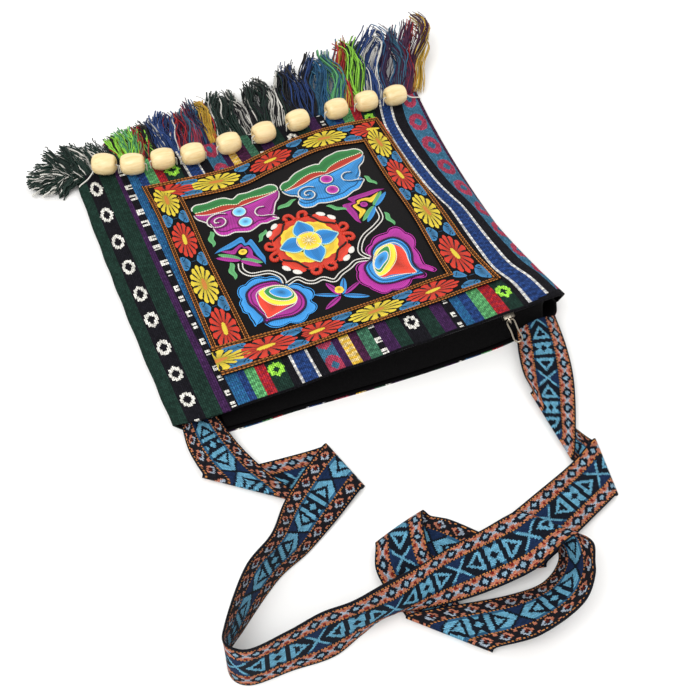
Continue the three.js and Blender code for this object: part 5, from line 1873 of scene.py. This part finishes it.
def make_stage():
    """White floor and soft studio light."""
    bm = bmesh.new()
    bmesh.ops.create_grid(bm, x_segments=1, y_segments=1, size=FLOOR_HALF)
    mesh = bpy.data.meshes.new("studio_floor")
    bm.to_mesh(mesh)
    bm.free()
    mesh.materials.append(matt_floor("Matt white paper"))
    floor = into_scene("studio_floor", mesh)
    world = bpy.data.worlds.new("studio")
    world.use_nodes = True
    sky = world.node_tree.nodes["Background"]
    sky.inputs["Color"].default_value = (1, 1, 1, 1)
    sky.inputs["Strength"].default_value = SKY_STRENGTH
    bpy.context.scene.world = world
    bpy.context.scene.view_settings.view_transform = "Standard"
    for name, place, size, power in SOFTBOXES:
        light = bpy.data.lights.new(name, "AREA")
        light.size = size
        light.energy = power
        lamp = into_scene(name, light)
        lamp.location = place
        lamp.rotation_euler = (-Vector(place)).to_track_quat("-Z", "Y").to_euler()


def make_camera():
    """The camera, turned about its own axis as the photo is."""
    azimuth, elevation, roll = (math.radians(CAMERA[name]) for name in ("azimuth", "elevation", "roll"))
    level = math.cos(elevation)
    back = Vector((math.sin(azimuth) * level, -math.cos(azimuth) * level, math.sin(elevation)))
    right = (-back).cross(Vector((0, 0, 1))).normalized()
    down = (-back).cross(right)
    turned_right = right * math.cos(roll) + down * math.sin(roll)
    turned_down = down * math.cos(roll) - right * math.sin(roll)
    lens = bpy.data.cameras.new("camera")
    lens.sensor_width = CAMERA["sensor"]
    lens.lens = CAMERA["lens"]
    lens.clip_start = NEAREST
    camera = into_scene("camera", lens)
    pose = Matrix((turned_right, -turned_down, back)).transposed().to_4x4()
    pose.translation = Vector(CAMERA["target"]) + back * CAMERA["distance"]
    camera.matrix_world = pose
    bpy.context.scene.camera = camera


# Operators


class BAG_OT_stage(bpy.types.Operator):
    """Sets up the floor, the light and the camera"""

    bl_idname = "bag.stage"
    bl_label = "Stage"

    def execute(self, context):
        make_camera()
        make_stage()
        return {"FINISHED"}


class BAG_OT_strap(bpy.types.Operator):
    """Weaves the strap along its route"""

    bl_idname = "bag.strap"
    bl_label = "Strap"

    def execute(self, context):
        make_strap(context.scene.bag_sizes)
        return {"FINISHED"}


class BAG_OT_walls(bpy.types.Operator):
    """Weaves the striped front and back walls"""

    bl_idname = "bag.walls"
    bl_label = "Walls"

    def execute(self, context):
        make_walls(context.scene.bag_sizes)
        return {"FINISHED"}


class BAG_OT_square(bpy.types.Operator):
    """Sews the satin square with its embroidery"""

    bl_idname = "bag.square"
    bl_label = "Embroidered square"

    def execute(self, context):
        make_square()
        return {"FINISHED"}


class BAG_OT_ribbons(bpy.types.Operator):
    """Sews the flower ribbons round the square"""

    bl_idname = "bag.ribbons"
    bl_label = "Ribbons"

    def execute(self, context):
        make_ribbons()
        return {"FINISHED"}


class BAG_OT_zip(bpy.types.Operator):
    """Makes the zip in the mouth"""

    bl_idname = "bag.zip"
    bl_label = "Zip"

    def execute(self, context):
        make_zip()
        return {"FINISHED"}


class BAG_OT_beads(bpy.types.Operator):
    """Turns the wooden beads and threads them"""

    bl_idname = "bag.beads"
    bl_label = "Beads"

    def execute(self, context):
        make_beads(context.scene.bag_sizes)
        return {"FINISHED"}


class BAG_OT_fringe(bpy.types.Operator):
    """Lays the yarns of the fringe"""

    bl_idname = "bag.fringe"
    bl_label = "Fringe"

    def execute(self, context):
        make_fringe(context.scene.bag_sizes)
        return {"FINISHED"}


STEPS = (BAG_OT_stage, BAG_OT_strap, BAG_OT_walls, BAG_OT_square, BAG_OT_ribbons, BAG_OT_zip, BAG_OT_beads,
         BAG_OT_fringe)


class BAG_PT_pieces(bpy.types.Panel):
    """Lists the bag's pieces, sizes and dyes"""

    bl_idname = "BAG_PT_pieces"
    bl_label = "Crossbody bag"
    bl_space_type = "VIEW_3D"
    bl_region_type = "UI"
    bl_category = "Bag"

    def draw(self, context):
        for step in STEPS:
            self.layout.operator(step.bl_idname)
        for group in (context.scene.bag_sizes, context.scene.bag_dyes):
            for name in group.__annotations__:
                self.layout.prop(group, name)


CLASSES = (BagDyes, BagSizes, *STEPS, BAG_PT_pieces)


def register():
    """Adds the bag's classes and its properties of the scene."""
    for entry in CLASSES:
        bpy.utils.register_class(entry)
    bpy.types.Scene.bag_dyes = bpy.props.PointerProperty(type=BagDyes)
    bpy.types.Scene.bag_sizes = bpy.props.PointerProperty(type=BagSizes)


def unregister():
    """Takes the bag's properties and classes out again."""
    del bpy.types.Scene.bag_sizes
    del bpy.types.Scene.bag_dyes
    for entry in reversed(CLASSES):
        bpy.utils.unregister_class(entry)


def main():
    """Makes every piece in order."""
    register()
    for step in STEPS:
        family, name = step.bl_idname.split(".")
        getattr(getattr(bpy.ops, family), name)()
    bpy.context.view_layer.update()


if __name__ == "__main__":
    main()
